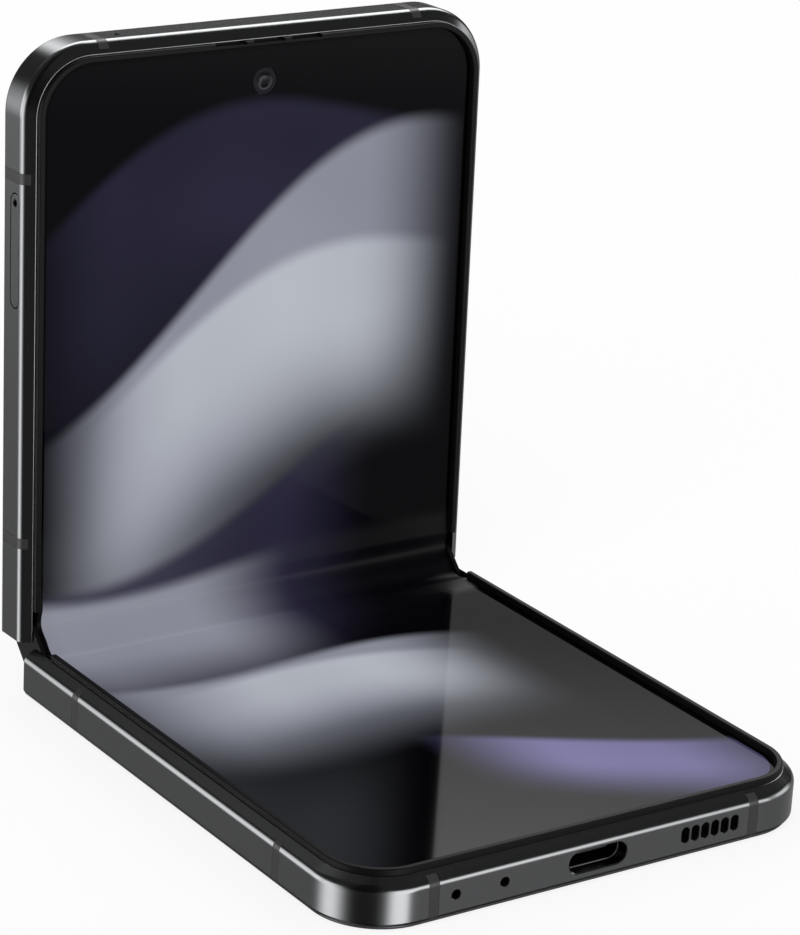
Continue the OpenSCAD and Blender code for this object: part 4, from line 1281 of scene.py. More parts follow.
@dataclass
class Rail:
    """The metal rail of one half, with its openings, and the bands let into it."""

    place: Place
    size: Sizes = field(default_factory=Sizes)
    arc_steps: int = 20

    def section(self, depth: float) -> list[Pair]:
        """The rail's section down to a depth from its outer face.

        Args:
            depth: inset of its inner side.

        Returns:
            Ring of inset and height pairs.
        """
        s, steps, shoulder = self.size, self.arc_steps, self.shoulder_r()
        ring = [(depth, s.bottom)] + arc(s.back_r, s.bottom + s.back_r, s.back_r, 270, 180, steps)
        front = arc(shoulder, s.top - s.front_h, shoulder, 180, 180 - s.bevel, steps)
        front += arc(s.front_r, s.top - s.crest_r, s.crest_r, 180 - s.bevel, 90, steps)
        ring += [p for p in front if p[0] <= depth + 1e-6]
        if depth < s.front_r:
            insets, heights = zip(*front)
            ring.append((depth, float(np.interp(depth, insets, heights))))
        return ring

    def shoulder_r(self) -> float:
        """Radius of the outer rounding, which meets the bevel that runs into the crest's small rounding.

        Returns:
            The radius.
        """
        s = self.size
        c, d = math.cos(math.radians(s.bevel)), math.sin(math.radians(s.bevel))
        across, down = s.front_r - s.crest_r * c, s.front_h - s.crest_r * (1 - d)
        return (across * c - d * down) / ((1 - c) * c - d * d)

    def true_normal(self, points: np.ndarray) -> np.ndarray:
        """Exact normals of the rail's outside.

        Args:
            points: rows of x, v, z.

        Returns:
            Rows of the normals.
        """
        s = self.size
        (_, out), z = RailPath(s).inset(points), points[:, 2]
        steep = math.sin(math.radians(s.bevel))
        heights = (0.0, self.shoulder_r() * steep, s.front_h - s.crest_r * (1 - steep), s.front_h)
        rise = np.interp(z - (s.top - s.front_h), heights, (0.0, steep, steep, 1.0))
        fall = (z - (s.bottom + s.back_r)) / s.back_r
        up = np.where(fall < 0, np.clip(fall, -1, 0), rise)
        outward = np.sqrt(np.maximum(0.0, 1 - up * up))
        return np.column_stack([out * outward[:, None], up])

    def opening(self, facing: Facing, at: Pair, slot: Pair, upright: bool = False,
                flare: float = 0.09) -> Solid:
        """A slot-shaped solid through the rail, flared at the rail's face for a small chamfer.

        Args:
            facing: the wall that it cuts.
            at: middle of the slot, along the rail and in height.
            slot: its length and width.
            upright: True where the slot's length stands across the rail.
            flare: width of the chamfer.

        Returns:
            Points and faces.
        """
        face, deep, past = self.size.half_l if facing is Facing.END else self.size.half_w, 3.0, 0.5
        levels = ((face - deep, 0.0), (face - flare, 0.0), (face, flare), (face + past, flare + past))
        return plug(facing, at, slot, levels, upright)

    def band_seats(self) -> list[Solid]:
        """What is cut out of the rail for the antenna bands.

        Returns:
            A solid for each band.
        """
        s = self.size
        half, low, high, past = s.band_w / 2, -1, s.top + 1, 1
        seats = []
        for side in (-1, 1):
            near, far = sorted((side * (s.half_w - s.band_depth), side * (s.half_w + past)))
            seats += [block((near, v - half, low), (far, v + half, high)) for v in s.band_v]
            x = side * s.band_x
            seats.append(block((x - half, s.half_l - s.band_depth, low), (x + half, s.half_l + past, high)))
        return seats

    def build(self, openings: Sequence[Solid]) -> bpy.types.Object:
        """The rail with its openings and the bands' seats.

        Args:
            openings: solids that are cut out.

        Returns:
            The rail, in drawing coordinates.
        """
        s = self.size
        points, faces = RailPath(s).sweep(self.section(s.wall), s.rail_end)
        obj = make_object(f"rail_{self.place.name.lower()}", make_mesh("rail", points, faces))
        return cut(obj, *openings, *self.band_seats())

    def band_mesh(self) -> bpy.types.Mesh:
        """All bands of this half in one mesh, with a hair-fine seam on each side.

        Returns:
            The mesh.
        """
        s, seam, sides = self.size, 0.035, (-1, 1)
        half = s.band_w / 2 - seam
        section = self.section(s.band_depth)
        pairs = [[(side * s.half_w, v + end * half, -side, 0.0) for end in sides]
                 for v in s.band_v for side in sides]
        pairs += [[(side * s.band_x + end * half, s.half_l, 0.0, -1.0) for end in sides] for side in sides]
        return join("bands", [loft([RailPath.placed(section, at) for at in pair]) for pair in pairs])

    def hand_over_bands(self, node: str) -> None:
        """Makes the bands and puts them in place.

        Args:
            node: CAD node that they stand for.
        """
        obj = make_object(f"bands_{self.place.name.lower()}", self.band_mesh())
        set_in_place(obj, self.place, self.true_normal)
        hand_over(obj, "band", self.place.value, "band_plastic", node)


@dataclass
class Shell:
    """What both halves share: rail, bands, inside plate, back glass, rim."""

    place: Place
    prefix: str
    size: Sizes = field(default_factory=Sizes)
    arm_screw_x: Pair = (27.5, 21.5)
    arm_screw_v: float = 11.0
    arm_seat: float = 4.549
    board_seat: float = 4.67

    def openings(self, rail: Rail) -> list[Solid]:
        """What is cut out of the rail for this half's ports and keys."""
        return []

    def put(self, obj: bpy.types.Object, finish: str, slot: str, *nodes: str, body: str = "",
            angle: float = 32.0) -> None:
        """Dresses a drawn piece of this half, on the half's own body if no other is given."""
        dress(obj, self.place, finish, body or self.place.value, slot, *nodes, angle=angle)

    def build_rail(self) -> None:
        """Rail and bands."""
        rail = Rail(self.place, self.size)
        obj = rail.build(self.openings(rail))
        set_in_place(obj, self.place, rail.true_normal)
        hand_over(obj, "rail", self.place.value, "rail_metal", f"{self.prefix}_frame")
        rail.hand_over_bands(f"{self.prefix}_antenna_bands")

    def build_chassis(self) -> None:
        """Machined plate, web and lip inside the rail: the frame's solid without its rails."""
        s = self.size
        cad = frame["nodes"][f"{self.prefix}_frame"].data
        points = self.place.from_row(drawn_points(cad))
        mesh = make_mesh("chassis", points, [list(p.vertices) for p in cad.polygons], merge=1e-4)
        out, deep, high = -1.0, s.wall + 0.02, s.bezel_top + 1
        band = [(out, -1.0), (deep, -1.0), (deep, high), (out, high)]
        chassis = cut(make_object(f"chassis_{self.prefix}", mesh), RailPath(s).sweep(band, -1.0))
        # near-black finish: painted shade for the hollow inside the rail
        self.put(chassis, "rail_inside_painted_shade", "rail_metal", angle=25)

    def build_glass(self, finish: str, holes: Sequence[Triple] = ()) -> None:
        """Back glass with a rounded outer edge.

        Args:
            finish: name of its finish.
            holes: x, v and radius of round holes through it.
        """
        s, edge = self.size, 0.4
        profile = arc(s.glass_inset + edge, edge, edge, 270, 180, 6) + [(s.glass_inset, s.bottom)]
        rings = [raised(round_outline(s.half_w - d, s.lip_end, s.half_l - d, s.corner - d), z)
                 for d, z in profile]
        obj = solid_object(f"glass_{self.prefix}", loft(rings))
        if holes:
            cut(obj, *(lathe([(0, -1), (r, -1), (r, 2), (0, 2)], (x, v)) for x, v, r in holes))
        self.add_uv(obj.data)
        self.put(obj, finish, "back_glass", f"{self.prefix}_back_glass", angle=28)

    @staticmethod
    def add_uv(mesh: bpy.types.Mesh) -> None:
        """UV map in cm: x across, y from the hinge line."""
        flat = drawn_points(mesh)[Corners.of(mesh).point][:, :2] / 10
        mesh.uv_layers.new(name="back").data.foreach_set("uv", flat.ravel())

    def build_rim(self, slots: Sequence[Pair] = ()) -> None:
        """Rim round the display, swept round the U of its middle line.

        Args:
            slots: ends in x of the sound slots in its outer side.
        """
        s = self.size
        middle, high = s.bezel_out + s.bezel_w / 2, s.bezel_top - s.bezel_z
        obj = RimSweep().build(f"rim_{self.prefix}", {
            "Half width": s.half_w - middle, "Start": s.bezel_end, "End": s.half_l - middle,
            "Corner radius": s.corner - middle, "Rim width": s.bezel_w, "Rim height": high,
            "Edge radius": 0.2, "Level": s.bezel_z + high / 2})
        if slots:
            width, floor = 0.42, s.bezel_z + 0.5
            v = s.half_l - s.bezel_out - width / 2 + 0.02
            cut(obj, *(prism(stadium(x1 - x0, width, 8) + [(x0 + x1) / 2, v], floor, s.bezel_top + 1)
                       for x0, x1 in slots))
        self.put(obj, "rim", "rim_plastic", f"{self.prefix}_bezel", angle=30)

    def build_screws(self, board: Sequence[Pair]) -> None:
        """Screws through the hinge arms and through the board, heads to the back.

        Args:
            board: x and v of the board's screws.
        """
        arms = [(side * x, self.arm_screw_v) for side in (-1, 1) for x in self.arm_screw_x]
        for name, places, seat, nodes in (("arm", arms, self.arm_seat, [f"{self.prefix}_screws"]),
                                          ("board", board, self.board_seat, [])):
            screws = Screws().run(f"{name}_screws_{self.prefix}", {
                "Head radius": 1.1, "Head height": 0.5, "Recess width": 0.22, "Shank radius": 0.6,
                "Shank length": self.size.bezel_z - seat}, [(x, v, seat) for x, v in places])
            self.put(screws, "steel", "steel", *nodes)


@dataclass
class LowerHalf(Shell):
    """Lower half: ports in its free end."""

    usb: Pair = (8.7, 2.9)
    socket_mouth: Pair = (8.34, 2.56)
    socket_depth: float = 6.8
    tongue_length: float = 5.6
    tongue_half: float = 3.35
    tongue_t: float = 0.33
    contacts: int = 12
    contact_pitch: float = 0.5
    coil_at: Triple = (0.0, 36.0, 0.63)
    board_screws: tuple[Pair, Pair] = ((29.6, 70.0), (-13.0, 70.0))
    mics: Pair = (-21.2, -14.05)
    mic_r: float = 0.62
    speaker_x: float = 17.5
    speaker_pitch: float = 1.565
    speaker_count: int = 6
    speaker_slot: Pair = (2.1, 1.15)
    sheet: Pair = (10.59, 2.6)
    sheet_t: float = 0.2
    sheet_pitch: float = 0.3
    sheet_frame: float = 0.28

    def build(self) -> None:
        """All dressed pieces of the lower half."""
        self.build_rail()
        self.build_chassis()
        self.build_glass("back")
        self.build_rim()
        self.build_socket()
        self.build_speaker_mesh()
        self.build_coil()
        self.build_screws(self.board_screws)

    def build_socket(self) -> None:
        """The socket's pressed shell with a rolled mouth, its tongue and the tongue's contacts."""
        (width, high), wall, roll, z = self.socket_mouth, 0.3, 0.12, self.size.port_z
        at, front = (0.0, z), self.size.half_l - self.size.wall - 0.05
        back = front - self.socket_depth
        foot = back + wall
        levels = [(back, wall - 0.2), (back + 0.2, wall), *rounding(front, wall, roll)]
        levels += [(front, roll), (front - 0.04, 0.03), (front - 0.14, 0.0), (foot, 0.0)]
        self.put(solid_object("socket_shell", plug(Facing.END, at, (width, high), levels)),
                 "bright_steel", "steel", "usb_shell")
        base = plug(Facing.END, at, (width - 0.1, high - 0.1), [(foot, 0.0), (foot + 0.8, 0.0)])
        tip, half, thick = foot + self.tongue_length, self.tongue_half, self.tongue_t
        sections = ((half, foot + 0.7, thick), (half, tip - 0.25, thick), (half - 0.1, tip - 0.08, 0.3),
                    (3.1, tip, 0.2))
        blade = loft([np.array([(x, v, z - h), (-x, v, z - h), (-x, v, z + h), (x, v, z + h)])
                      for x, v, h in sections])
        tongue = solid_object("socket_tongue", base, blade)
        self.put(tongue, "tongue", "black_plastic", "usb_tongue", angle=20)
        pitch = self.contact_pitch
        pins = Contacts().run("socket_contacts", {
            "Width": 0.26, "Length": 3.6, "Thickness": 0.03, "Pitch": pitch, "Count": self.contacts},
            [((1 - self.contacts) * pitch / 2, tip - 2.4, z + side * (thick + 0.005)) for side in (-1, 1)])
        self.put(pins, "gold", "gold_can")

    def build_speaker_mesh(self) -> None:
        """Perforated sheet behind the speaker slots, in its glued frame."""
        (length, width), thick, edge = self.sheet, self.sheet_t, self.sheet_frame
        x, z = self.speaker_x, self.size.port_z
        v = self.size.half_l - self.size.wall - 0.05 - thick
        sheet = SoundMesh().build("speaker_mesh_sheet", length, width, self.sheet_pitch, thick * 0.6)
        flat = drawn_points(sheet.data)
        redraw(sheet.data, np.column_stack([x + flat[:, 0], v + thick * 0.2 + flat[:, 2], z + flat[:, 1]]))
        sheet.data.flip_normals()
        self.put(sheet, "mesh", "mesh", "speaker_mesh")
        border, inner = (
            plug(Facing.END, (x, z), (length, width), [(v - past, grow), (v + thick + past, grow)])
            for past, grow in ((0.0, 0.0), (1.0, -edge)))
        self.put(cut(solid_object("speaker_mesh_sheet_frame", border), inner), "black", "mesh")

    def build_coil(self) -> None:
        """Charging coil on the inside of the back glass."""
        coil = Coil().run("charging_winding", {
            "Inner radius": 11.0, "Outer radius": 20.0, "Turns": 18.0, "Wire width": 0.42, "Thickness": 0.24})
        redraw(coil.data, drawn_points(coil.data) + self.coil_at)
        self.put(coil, "copper", "copper", "charging_coil")

    def openings(self, rail: Rail) -> list[Solid]:
        """Socket, microphone holes and speaker slots.

        Args:
            rail: this half's rail.

        Returns:
            A solid for each opening.
        """
        z, first = self.size.port_z, self.speaker_x - (self.speaker_count - 1) / 2 * self.speaker_pitch
        out = [rail.opening(Facing.END, (0, z), self.usb, flare=0.14)]
        out += [rail.opening(Facing.END, (x, z), (2 * self.mic_r, 2 * self.mic_r)) for x in self.mics]
        slots = [(first + i * self.speaker_pitch, z) for i in range(self.speaker_count)]
        return out + [rail.opening(Facing.END, at, self.speaker_slot, upright=True) for at in slots]


@dataclass
class UpperHalf(Shell):
    """Upper half: tray and keys in its sides, cameras in its back."""

    tray: tuple[float, float, float, float] = (55.2, 3.75, 15.6, 2.4)
    volume: Triple = (51.0, 17.6, 2.3)
    side: Triple = (30.5, 13.4, 2.3)
    mic_x: float = -20.95
    mic_slot: Pair = (0.7, 0.7)
    key_gap: float = 0.12
    ear_slots: Pair = (5.9, 4.9)
    cameras: tuple[Pair, Pair] = ((25.95, 72.55), (13.35, 72.55))
    ring_hole: float = 5.2
    flash: Pair = (4.15, 72.55)
    flash_r: float = 1.65
    board_screws: tuple[Pair, Pair] = ((29.6, 57.5), (-16.0, 57.5))
    tray_depth: float = 14.65
    tray_half: float = 5.3
    tray_t: float = 0.85
    pocket: Triple = (1.35, 13.75, 4.45)  # start, end and half width, in from the rail
    window: Triple = (5.0, 11.0, 2.6)
    card: tuple[Pair, ...] = ((1.4, -4.4), (13.7, -4.4), (13.7, 2.75), (12.05, 4.4), (1.4, 4.4))
    card_t: float = 0.65
    dome_turn: float = 1.1
    ring_profile: tuple[Pair, ...] = (
        (5.42, -0.95), (4.8, -0.95), (4.7, -0.85), (4.7, -0.3), (3.95, -0.3), (3.95, 1.0), (5.15, 1.0),
        (5.15, 0.0), (5.6, 0.0), (5.6, -0.77))
    ring_edge: float = 0.18
    rear_dome: Triple = (1.75, -0.45, -0.16)
    rear_well: tuple[Pair, ...] = (
        (1.85, -0.42), (2.3, -0.5), (2.35, -0.58), (2.8, -0.62), (2.85, -0.72), (3.6, -0.74),
        (3.65, -0.8), (4.6, -0.8), (4.65, -0.76), (4.65, -0.3), (0, -0.3))
    groove: float = 0.24
    flash_edge: tuple[Pair, ...] = ((1.45, 0.02), (1.55, 0.02), (1.6, 0.07), (1.6, 1.0), (0, 1.0))
    front_dome: Triple = (0.72, 0.22, 0.1)
    front_well: tuple[Pair, ...] = (
        (0.8, 0.26), (0.95, 0.2), (0.98, 0.12), (1.25, 0.1), (1.28, 0.05), (1.8, 0.05), (1.85, 0.1),
        (1.85, 0.35), (0, 0.35))

    def build(self) -> None:
        """All dressed pieces of the upper half."""
        self.build_rail()
        self.build_chassis()
        rings = [(x, v, self.ring_hole) for x, v in self.cameras]
        self.build_glass("window_back", [*rings, (*self.flash, self.flash_r)])
        pitch, length = self.ear_slots
        self.build_rim([(i * pitch - length / 2, i * pitch + length / 2) for i in (-1, 0, 1)])
        self.build_keys()
        self.build_tray()
        self.build_rear_cameras()
        self.build_front_camera()
        self.build_earpiece_mesh()
        self.build_screws(self.board_screws)

    def build_earpiece_mesh(self) -> None:
        """Perforated strip over the sound duct, on its carrier."""
        length, width, low, top, thick = 16.6, 0.5, 5.27, 5.82, 0.08
        v = self.size.half_l - self.size.wall - 0.1 - width / 2
        strip = SoundMesh().build("earpiece_strip", length, width, 0.17, thick)
        redraw(strip.data, drawn_points(strip.data) + [0, v, top - thick])
        self.put(strip, "mesh", "mesh", "earpiece_mesh")
        carrier = prism(stadium(length, width) + [0, v], low, top - thick - 0.01)
        self.put(solid_object("earpiece_carrier", carrier), "black", "mesh")

    def build_keys(self) -> None:
        """Volume rocker with a crowned face, and side key with a flat sunk face."""
        s, gap = self.size, self.key_gap
        inner = s.half_w - s.wall
        flange = [(inner - 0.65, 0.27), (inner - 0.25, 0.27), (inner - 0.25, 0.0)]
        keys = (
            ("volume_key", self.volume, s.half_w + 0.35, 0.42, 0.05, "volume_rocker", "rail", "rail_metal"),
            ("side_key", self.side, s.half_w - 0.1, 0.12, -0.03, "side_button", "key", "key_metal"))
        for name, (v, length, high), top, edge, crown, body, finish, slot in keys:
            face = [(top, -edge - 0.45)]
            if crown < 0:
                face = [(top, -edge - 0.1), (top + crown, -edge - 0.3)]
            levels = flange + rounding(top - max(crown, 0.0), 0.0, edge) + face
            cap = plug(Facing.RIGHT, (v, s.port_z), (length - 2 * gap, high - 2 * gap), levels)
            self.put(solid_object(name + "_cap", cap), finish, slot, name, body=body, angle=40)

    def build_tray(self) -> None:
        """Card tray with its eject hole, and the card in its pocket."""
        s, gap, body = self.size, self.key_gap, "card_tray"
        v, z, length, high = self.tray
        out, inner, eject, from_end = s.half_w, s.half_w - s.wall, 0.9, 1.35
        face = plug(Facing.LEFT, (v, z), (length - 2 * gap, high - 2 * gap), [
            (inner, 0.0), *rounding(out, 0.0, 0.07, 3)])
        hole = plug(Facing.LEFT, (v + length / 2 - from_end, z), (eject, eject), [
            (inner - 1, 0.0), (out - 0.1, 0.0), (out, 0.1), (out + 0.2, 0.3)])
        face = cut(solid_object("tray_face", face), hole)
        self.put(face, "rail", "rail_metal", "sim_tray", body=body, angle=25)
        x, half, low, top = -inner, self.tray_half, z + self.tray_t / 2 - self.card_t - 0.02, z + 1
        carrier = solid_object("tray_carrier", block(
            (x - 0.1, v - half, z - self.tray_t / 2), (x + self.tray_depth, v + half, z + self.tray_t / 2)))
        cut(carrier, *(block((x + start, v - wide, floor), (x + end, v + wide, top))
                       for (start, end, wide), floor in ((self.pocket, low), (self.window, z - 1))))
        self.put(carrier, "black", "black_plastic", body=body, angle=25)
        card = prism(np.array(self.card) + [x, v], low, low + self.card_t)
        self.put(solid_object("small_card", card), "card", "card", "nano_card", body=body, angle=25)

    def build_rear_cameras(self) -> None:
        """Polished camera rings, stepped lens wells and the flash's ringed lens."""
        (x, z), edge, step = self.ring_profile[-1], self.ring_edge, self.groove
        rings = [*self.ring_profile, *(
            (x - edge + edge * math.cos(a), z - edge * math.sin(a)) for a in np.linspace(0.2, 1.4, 6))]
        radius, rim, rise = self.rear_dome
        well = [*self.dome(radius, rim, rise / (1 - math.cos(self.dome_turn)), 9), *self.rear_well]
        grooves = [(r + step * k, z) for k in range(5) for r, z in ((step - 0.02, 0.02), (step, 0.09))]
        flash = [(0.0, 0.04), *grooves, *self.flash_edge]
        for name, profile, places, steps, finish, slot, node in (
                ("camera_ring_pair", rings, self.cameras, 96, "polished", "rail_metal", "camera_rings"),
                ("camera_lens_pair", well, self.cameras, 96, "lens", "lens_glass", "camera_lenses"),
                ("flash_window", flash, (self.flash,), 72, "flash", "flash_plastic", "flash_lens")):
            turned_part = solid_object(name, *(lathe(profile, at, steps) for at in places))
            self.put(turned_part, finish, slot, node, angle=35)

    def dome(self, radius: float, rim: float, rise: float, count: int) -> list[Pair]:
        """Profile of a lens dome from the axis out to its rim's radius and height, with a cosine's rise."""
        last = self.dome_turn
        return [(radius * math.sin(a) / math.sin(last), rim + rise * (math.cos(a) - math.cos(last)))
                for a in np.linspace(0, last, count)]

    def build_front_camera(self) -> None:
        """Small lens in the display's hole: dark ring, well and dome."""
        top, (radius, depth, rise) = self.size.screen_top, self.front_dome
        well = self.dome(radius, top - depth, rise, 8) + [(r, top - down) for r, down in self.front_well]
        lens = solid_object("front_lens", lathe(well, (0, self.size.camera_v)))
        self.put(lens, "front_lens", "lens_glass", "front_camera_lens", angle=35)

    def openings(self, rail: Rail) -> list[Solid]:
        """Tray opening, key openings and microphone hole.

        Args:
            rail: this half's rail.

        Returns:
            A solid for each opening.
        """
        z = self.size.port_z
        v, tray_z, length, width = self.tray
        out = [rail.opening(Facing.LEFT, (v, tray_z), (length, width), flare=0.06)]
        out += [rail.opening(Facing.RIGHT, (v, z), slot, flare=0.08) for v, *slot in (self.volume, self.side)]
        return out + [rail.opening(Facing.END, (self.mic_x, z), self.mic_slot, flare=0.06)]


@dataclass
class Spine:
    """The hinge's outer shell, its end caps and its spring washers."""

    radius: float = 4.55
    wall: float = 0.5
    half: float = 33.6
    cap: float = 0.6
    lip: float = math.radians(14)
    cap_r: float = 1.15
    pin_r: float = 0.33
    module_x: float = 31.0
    washers: int = 8
    washer_r: float = 0.52
    washer_t: float = 0.35
    washer_pitch: float = 0.5
    washer_start: float = 7.6

    def arc(self, side: int, r: float, first: float, last: float, steps: int = 40) -> list[Pair]:
        """Points of an arc about one of the fold axes, in y and z."""
        turns = np.linspace(first, last, steps)
        return [(side * AXIS_V + r * math.cos(a), AXIS_Z + r * math.sin(a)) for a in turns]

    def along(self, outline: Sequence[Pair], x0: float, x1: float) -> Solid:
        """Prism of a (y, z) outline from x0 to x1."""
        flat = np.array(outline)
        return loft([np.column_stack([np.full(len(flat), x), flat]) for x in (x0, x1)])

    def outer(self) -> list[Pair]:
        """The shell's outside from its +y lip round to its -y lip."""
        r, down = self.radius, -math.pi / 2
        return self.arc(1, r, -self.lip, down) + self.arc(-1, r, down, -math.pi + self.lip)

    def build(self) -> None:
        """Shell, end caps and washers."""
        down, (y, z), quarter = -math.pi / 2, (AXIS_V, AXIS_Z), math.pi / 2
        inside = self.radius - self.wall
        low = math.asin(self.radius * math.sin(self.lip) / inside)
        back = self.arc(-1, inside, -math.pi + low, down) + self.arc(1, inside, down, -low)
        shell = self.along(self.outer() + back, -self.half, self.half)
        self.put("spine_shell", "spine", "hinge_spine_cover", shell)
        lip_z, reach, end = z - self.radius * math.sin(self.lip), y + self.cap_r, self.half + self.cap
        shoulder = [(-reach, lip_z), (-reach, z)] + self.arc(-1, self.cap_r, math.pi, quarter, 12)[1:]
        shoulder += self.arc(1, self.cap_r, quarter, 0, 12) + [(reach, lip_z)]
        self.put("spine_caps", "cap", "hinge_end_caps", *(
            self.along(self.outer() + shoulder, side * self.half, side * end) for side in (-1, 1)))
        pitch, count, first = self.washer_pitch, self.washers, self.module_x - self.washer_start
        ends = (first - pitch * (count - 0.5), -(first - pitch / 2))
        springs = Stacks().run("spring_washers", {
            "Bore radius": self.pin_r, "Outer radius": self.washer_r, "Thickness": self.washer_t,
            "Pitch": pitch, "Count": count}, [(x, side * y, z) for side in (-1, 1) for x in ends])
        dress(springs, Place.SPINE, "steel", "hinge_spine", "steel", "friction_springs")

    def put(self, name: str, finish: str, node: str, *solids: Solid) -> None:
        """Makes a piece of the spine's outside and hands it over for its CAD node."""
        dress(solid_object(name, *solids), Place.SPINE, finish, "hinge_spine", "spine_metal", node, angle=28)


@dataclass
class Screen:
    """One half of the folding display, bent over the hinge."""

    place: Place
    size: Sizes = field(default_factory=Sizes)
    bend_rows: int = 40
    rounds: int = 60

    @property
    def sign(self) -> int:
        """The way that the row's y runs along this half."""
        return -1 if self.place is Place.LOWER else 1

    def bent(self, flat: np.ndarray) -> np.ndarray:
        """Bends flat points by a smooth turn that grows from the bend's start on the half to the hinge line.

        Args:
            flat: rows of x, v, z.

        Returns:
            Rows in the row frame, in metres.
        """
        straight = flat * [1, self.sign, 1] + [0, HINGE_Y, 0]
        start, end = self.ends()
        line = end - start
        turn = HALF_FOLD * (flat[:, 1] < self.size.bend) * (1 - flat[:, 1] / self.size.bend)
        for _ in range(self.rounds):
            moved = self.partly(straight, turn)
            t = np.clip(((moved - start) @ line) / (line @ line), 0, 1)
            turn = 0.5 * turn + 0.5 * HALF_FOLD * t * t * (3 - 2 * t)
        return moved * MM

    def partly(self, points: np.ndarray, turn: np.ndarray) -> np.ndarray:
        """Points of this half, each turned by its own angle from the half's plane towards the spine.

        Args:
            points: rows of the row frame in mm, with the half laid flat.
            turn: the angles, in radians.

        Returns:
            The turned rows.
        """
        extra = turn if self.sign < 0 else HALF_FOLD - turn
        y, z = HINGE_Y + self.sign * AXIS_V, AXIS_Z
        c, s = np.cos(extra), np.sin(extra)
        dy, dz = points[:, 1] - y, points[:, 2] - z
        out = np.stack([points[:, 0], y + dy * c - dz * s, z + dy * s + dz * c], axis=1)
        return out if self.sign < 0 else turned(out, HINGE_Y - AXIS_V, z, HALF_FOLD)

    def ends(self) -> tuple[np.ndarray, np.ndarray]:
        """The bend's two ends.

        Returns:
            Where it starts on the half and ends on the hinge line, in mm of the row frame.
        """
        z = self.size.screen_top
        start = self.place.to_row(np.array([[0, self.size.bend, z]]))[0] / MM
        end = Place.SPINE.to_row(np.array([[0, 0, z]]))[0] / MM
        return start, end

    def build(self, hole: Pair | None, *nodes: str) -> None:
        """The display of this half with its bend.

        Args:
            hole: v and radius of the camera hole, or None.
            nodes: CAD nodes that it stands for.
        """
        s = self.size
        obj = make_object(f"screen_{self.place.name.lower()}", make_mesh("screen", *self.plate()))
        if hole:
            (v, r), low, high = hole, s.screen_top - s.screen_t - 1, s.screen_top + 1
            cut(obj, lathe([(0, low), (r, low), (r, high), (0, high)], (0, v)))
        self.add_uv(obj.data)
        redraw(obj.data, self.bent(drawn_points(obj.data)))
        if self.place is Place.LOWER:
            obj.data.flip_normals()
            obj.data.update()
        soft_shade(obj, 30)
        obj.data.materials.append(Paints.get("screen"))
        start, end = (tuple(p * MM) for p in self.ends())
        if self.place is Place.LOWER:
            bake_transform(obj)
        else:
            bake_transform(obj)
        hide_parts(*nodes)
        log.info("piece %s", obj.name)

    def plate(self) -> Solid:
        """The flat plate, with rows of quads where it bends and one face beyond.

        Returns:
            Points and faces.
        """
        s, count = self.size, self.bend_rows
        w = s.half_w - s.screen_inset
        outline = round_outline(w, s.bend, s.half_l - s.screen_inset, s.corner - s.screen_inset)
        rows = [(x, s.bend * k / count) for k in range(count) for x in (-w, w)]
        flat = np.array(rows + [tuple(p) for p in outline])
        n, first = len(flat), len(rows)
        rest = list(range(first, n))
        tops = [[2 * k, 2 * k + 1, 2 * k + 3, 2 * k + 2] for k in range(count)] + [rest]
        tops[count - 1][2:] = rest[1], rest[0]
        border = [0, *range(1, first, 2), *rest[1:], rest[0], *range(first - 2, 0, -2)]
        faces = tops + [[i + n for i in face][::-1] for face in tops]
        faces += [[b, a, a + n, b + n] for a, b in zip(border, border[1:] + border[:1])]
        return np.vstack([raised(flat, s.screen_top), raised(flat, s.screen_top - s.screen_t)]), faces

    def add_uv(self, mesh: bpy.types.Mesh) -> None:
        """UV map in cm of the flat screen: x across, y along it from the hinge line, upper half positive."""
        flat = drawn_points(mesh)[Corners.of(mesh).point][:, :2] * [1, self.sign] / 10
        mesh.uv_layers.new(name="screen").data.foreach_set("uv", flat.ravel())


# ---------- studio ----------


@dataclass
class Camera:
    """Camera fitted to the standing view, in mm from the hinge line."""

    at: Triple = (-251.013, -396.763, 198.265)
    azimuth: float = 0.607
    elevation: float = 0.348
    roll: float = 0.055
    focal_px: float = 3613.578
    image: tuple[int, int] = (800, 935)
    sensor: float = 36.0

    def build(self) -> None:
        """Makes the camera and makes it the scene's own."""
        data = bpy.data.cameras.new("camera")
        data.sensor_fit = "AUTO"
        data.sensor_width = self.sensor
        data.lens = self.focal_px * self.sensor / max(self.image)
        data.clip_start, data.clip_end = 0.01, 20.0
        obj = bpy.data.objects.new("camera", data)
        a, e = self.azimuth, self.elevation
        ahead = Vector((math.sin(a) * math.cos(e), math.cos(a) * math.cos(e), -math.sin(e)))
        right = Vector((math.cos(a), -math.sin(a), 0.0))
        up = right.cross(ahead)
        c, s = math.cos(self.roll), math.sin(self.roll)
        right, up = right * c + up * s, up * c - right * s
        turn = Matrix((right, up, -ahead)).transposed()
        x, y, z = self.at
        obj.matrix_world = Matrix.Translation((x * MM, (y + HINGE_Y) * MM, z * MM)) @ turn.to_4x4()
        bpy.context.scene.collection.objects.link(obj)
        bpy.context.scene.camera = obj


@dataclass(frozen=True)
class SoftField:
    """A soft-edged bright field of the surroundings, by azimuth in degrees and sine of elevation."""

    start: float
    end: float
    low: float
    high: float
    level: float
    soft: float = 6.0
    fade: float = 0.05
    slant: float = 0.0
    pivot: float = 0.0

    def glow(self, across: Socket, up: Socket) -> Socket:
        """The field's light.

        Args:
            across: azimuth.
            up: sine of the elevation.

        Returns:
            Its light, which the lower edge lets in further down before the pivot azimuth.
        """
        low = (self.pivot - across).most(0.0) * -self.slant + self.low
        sides = across.ramp(self.start - self.soft, self.start + self.soft) * across.ramp(
            self.end + self.soft, self.end - self.soft)
        above = ((up - low) / (2 * self.fade) + 0.5).clamp()
        return sides * above * up.ramp(self.high + self.fade, self.high - self.fade) * self.level


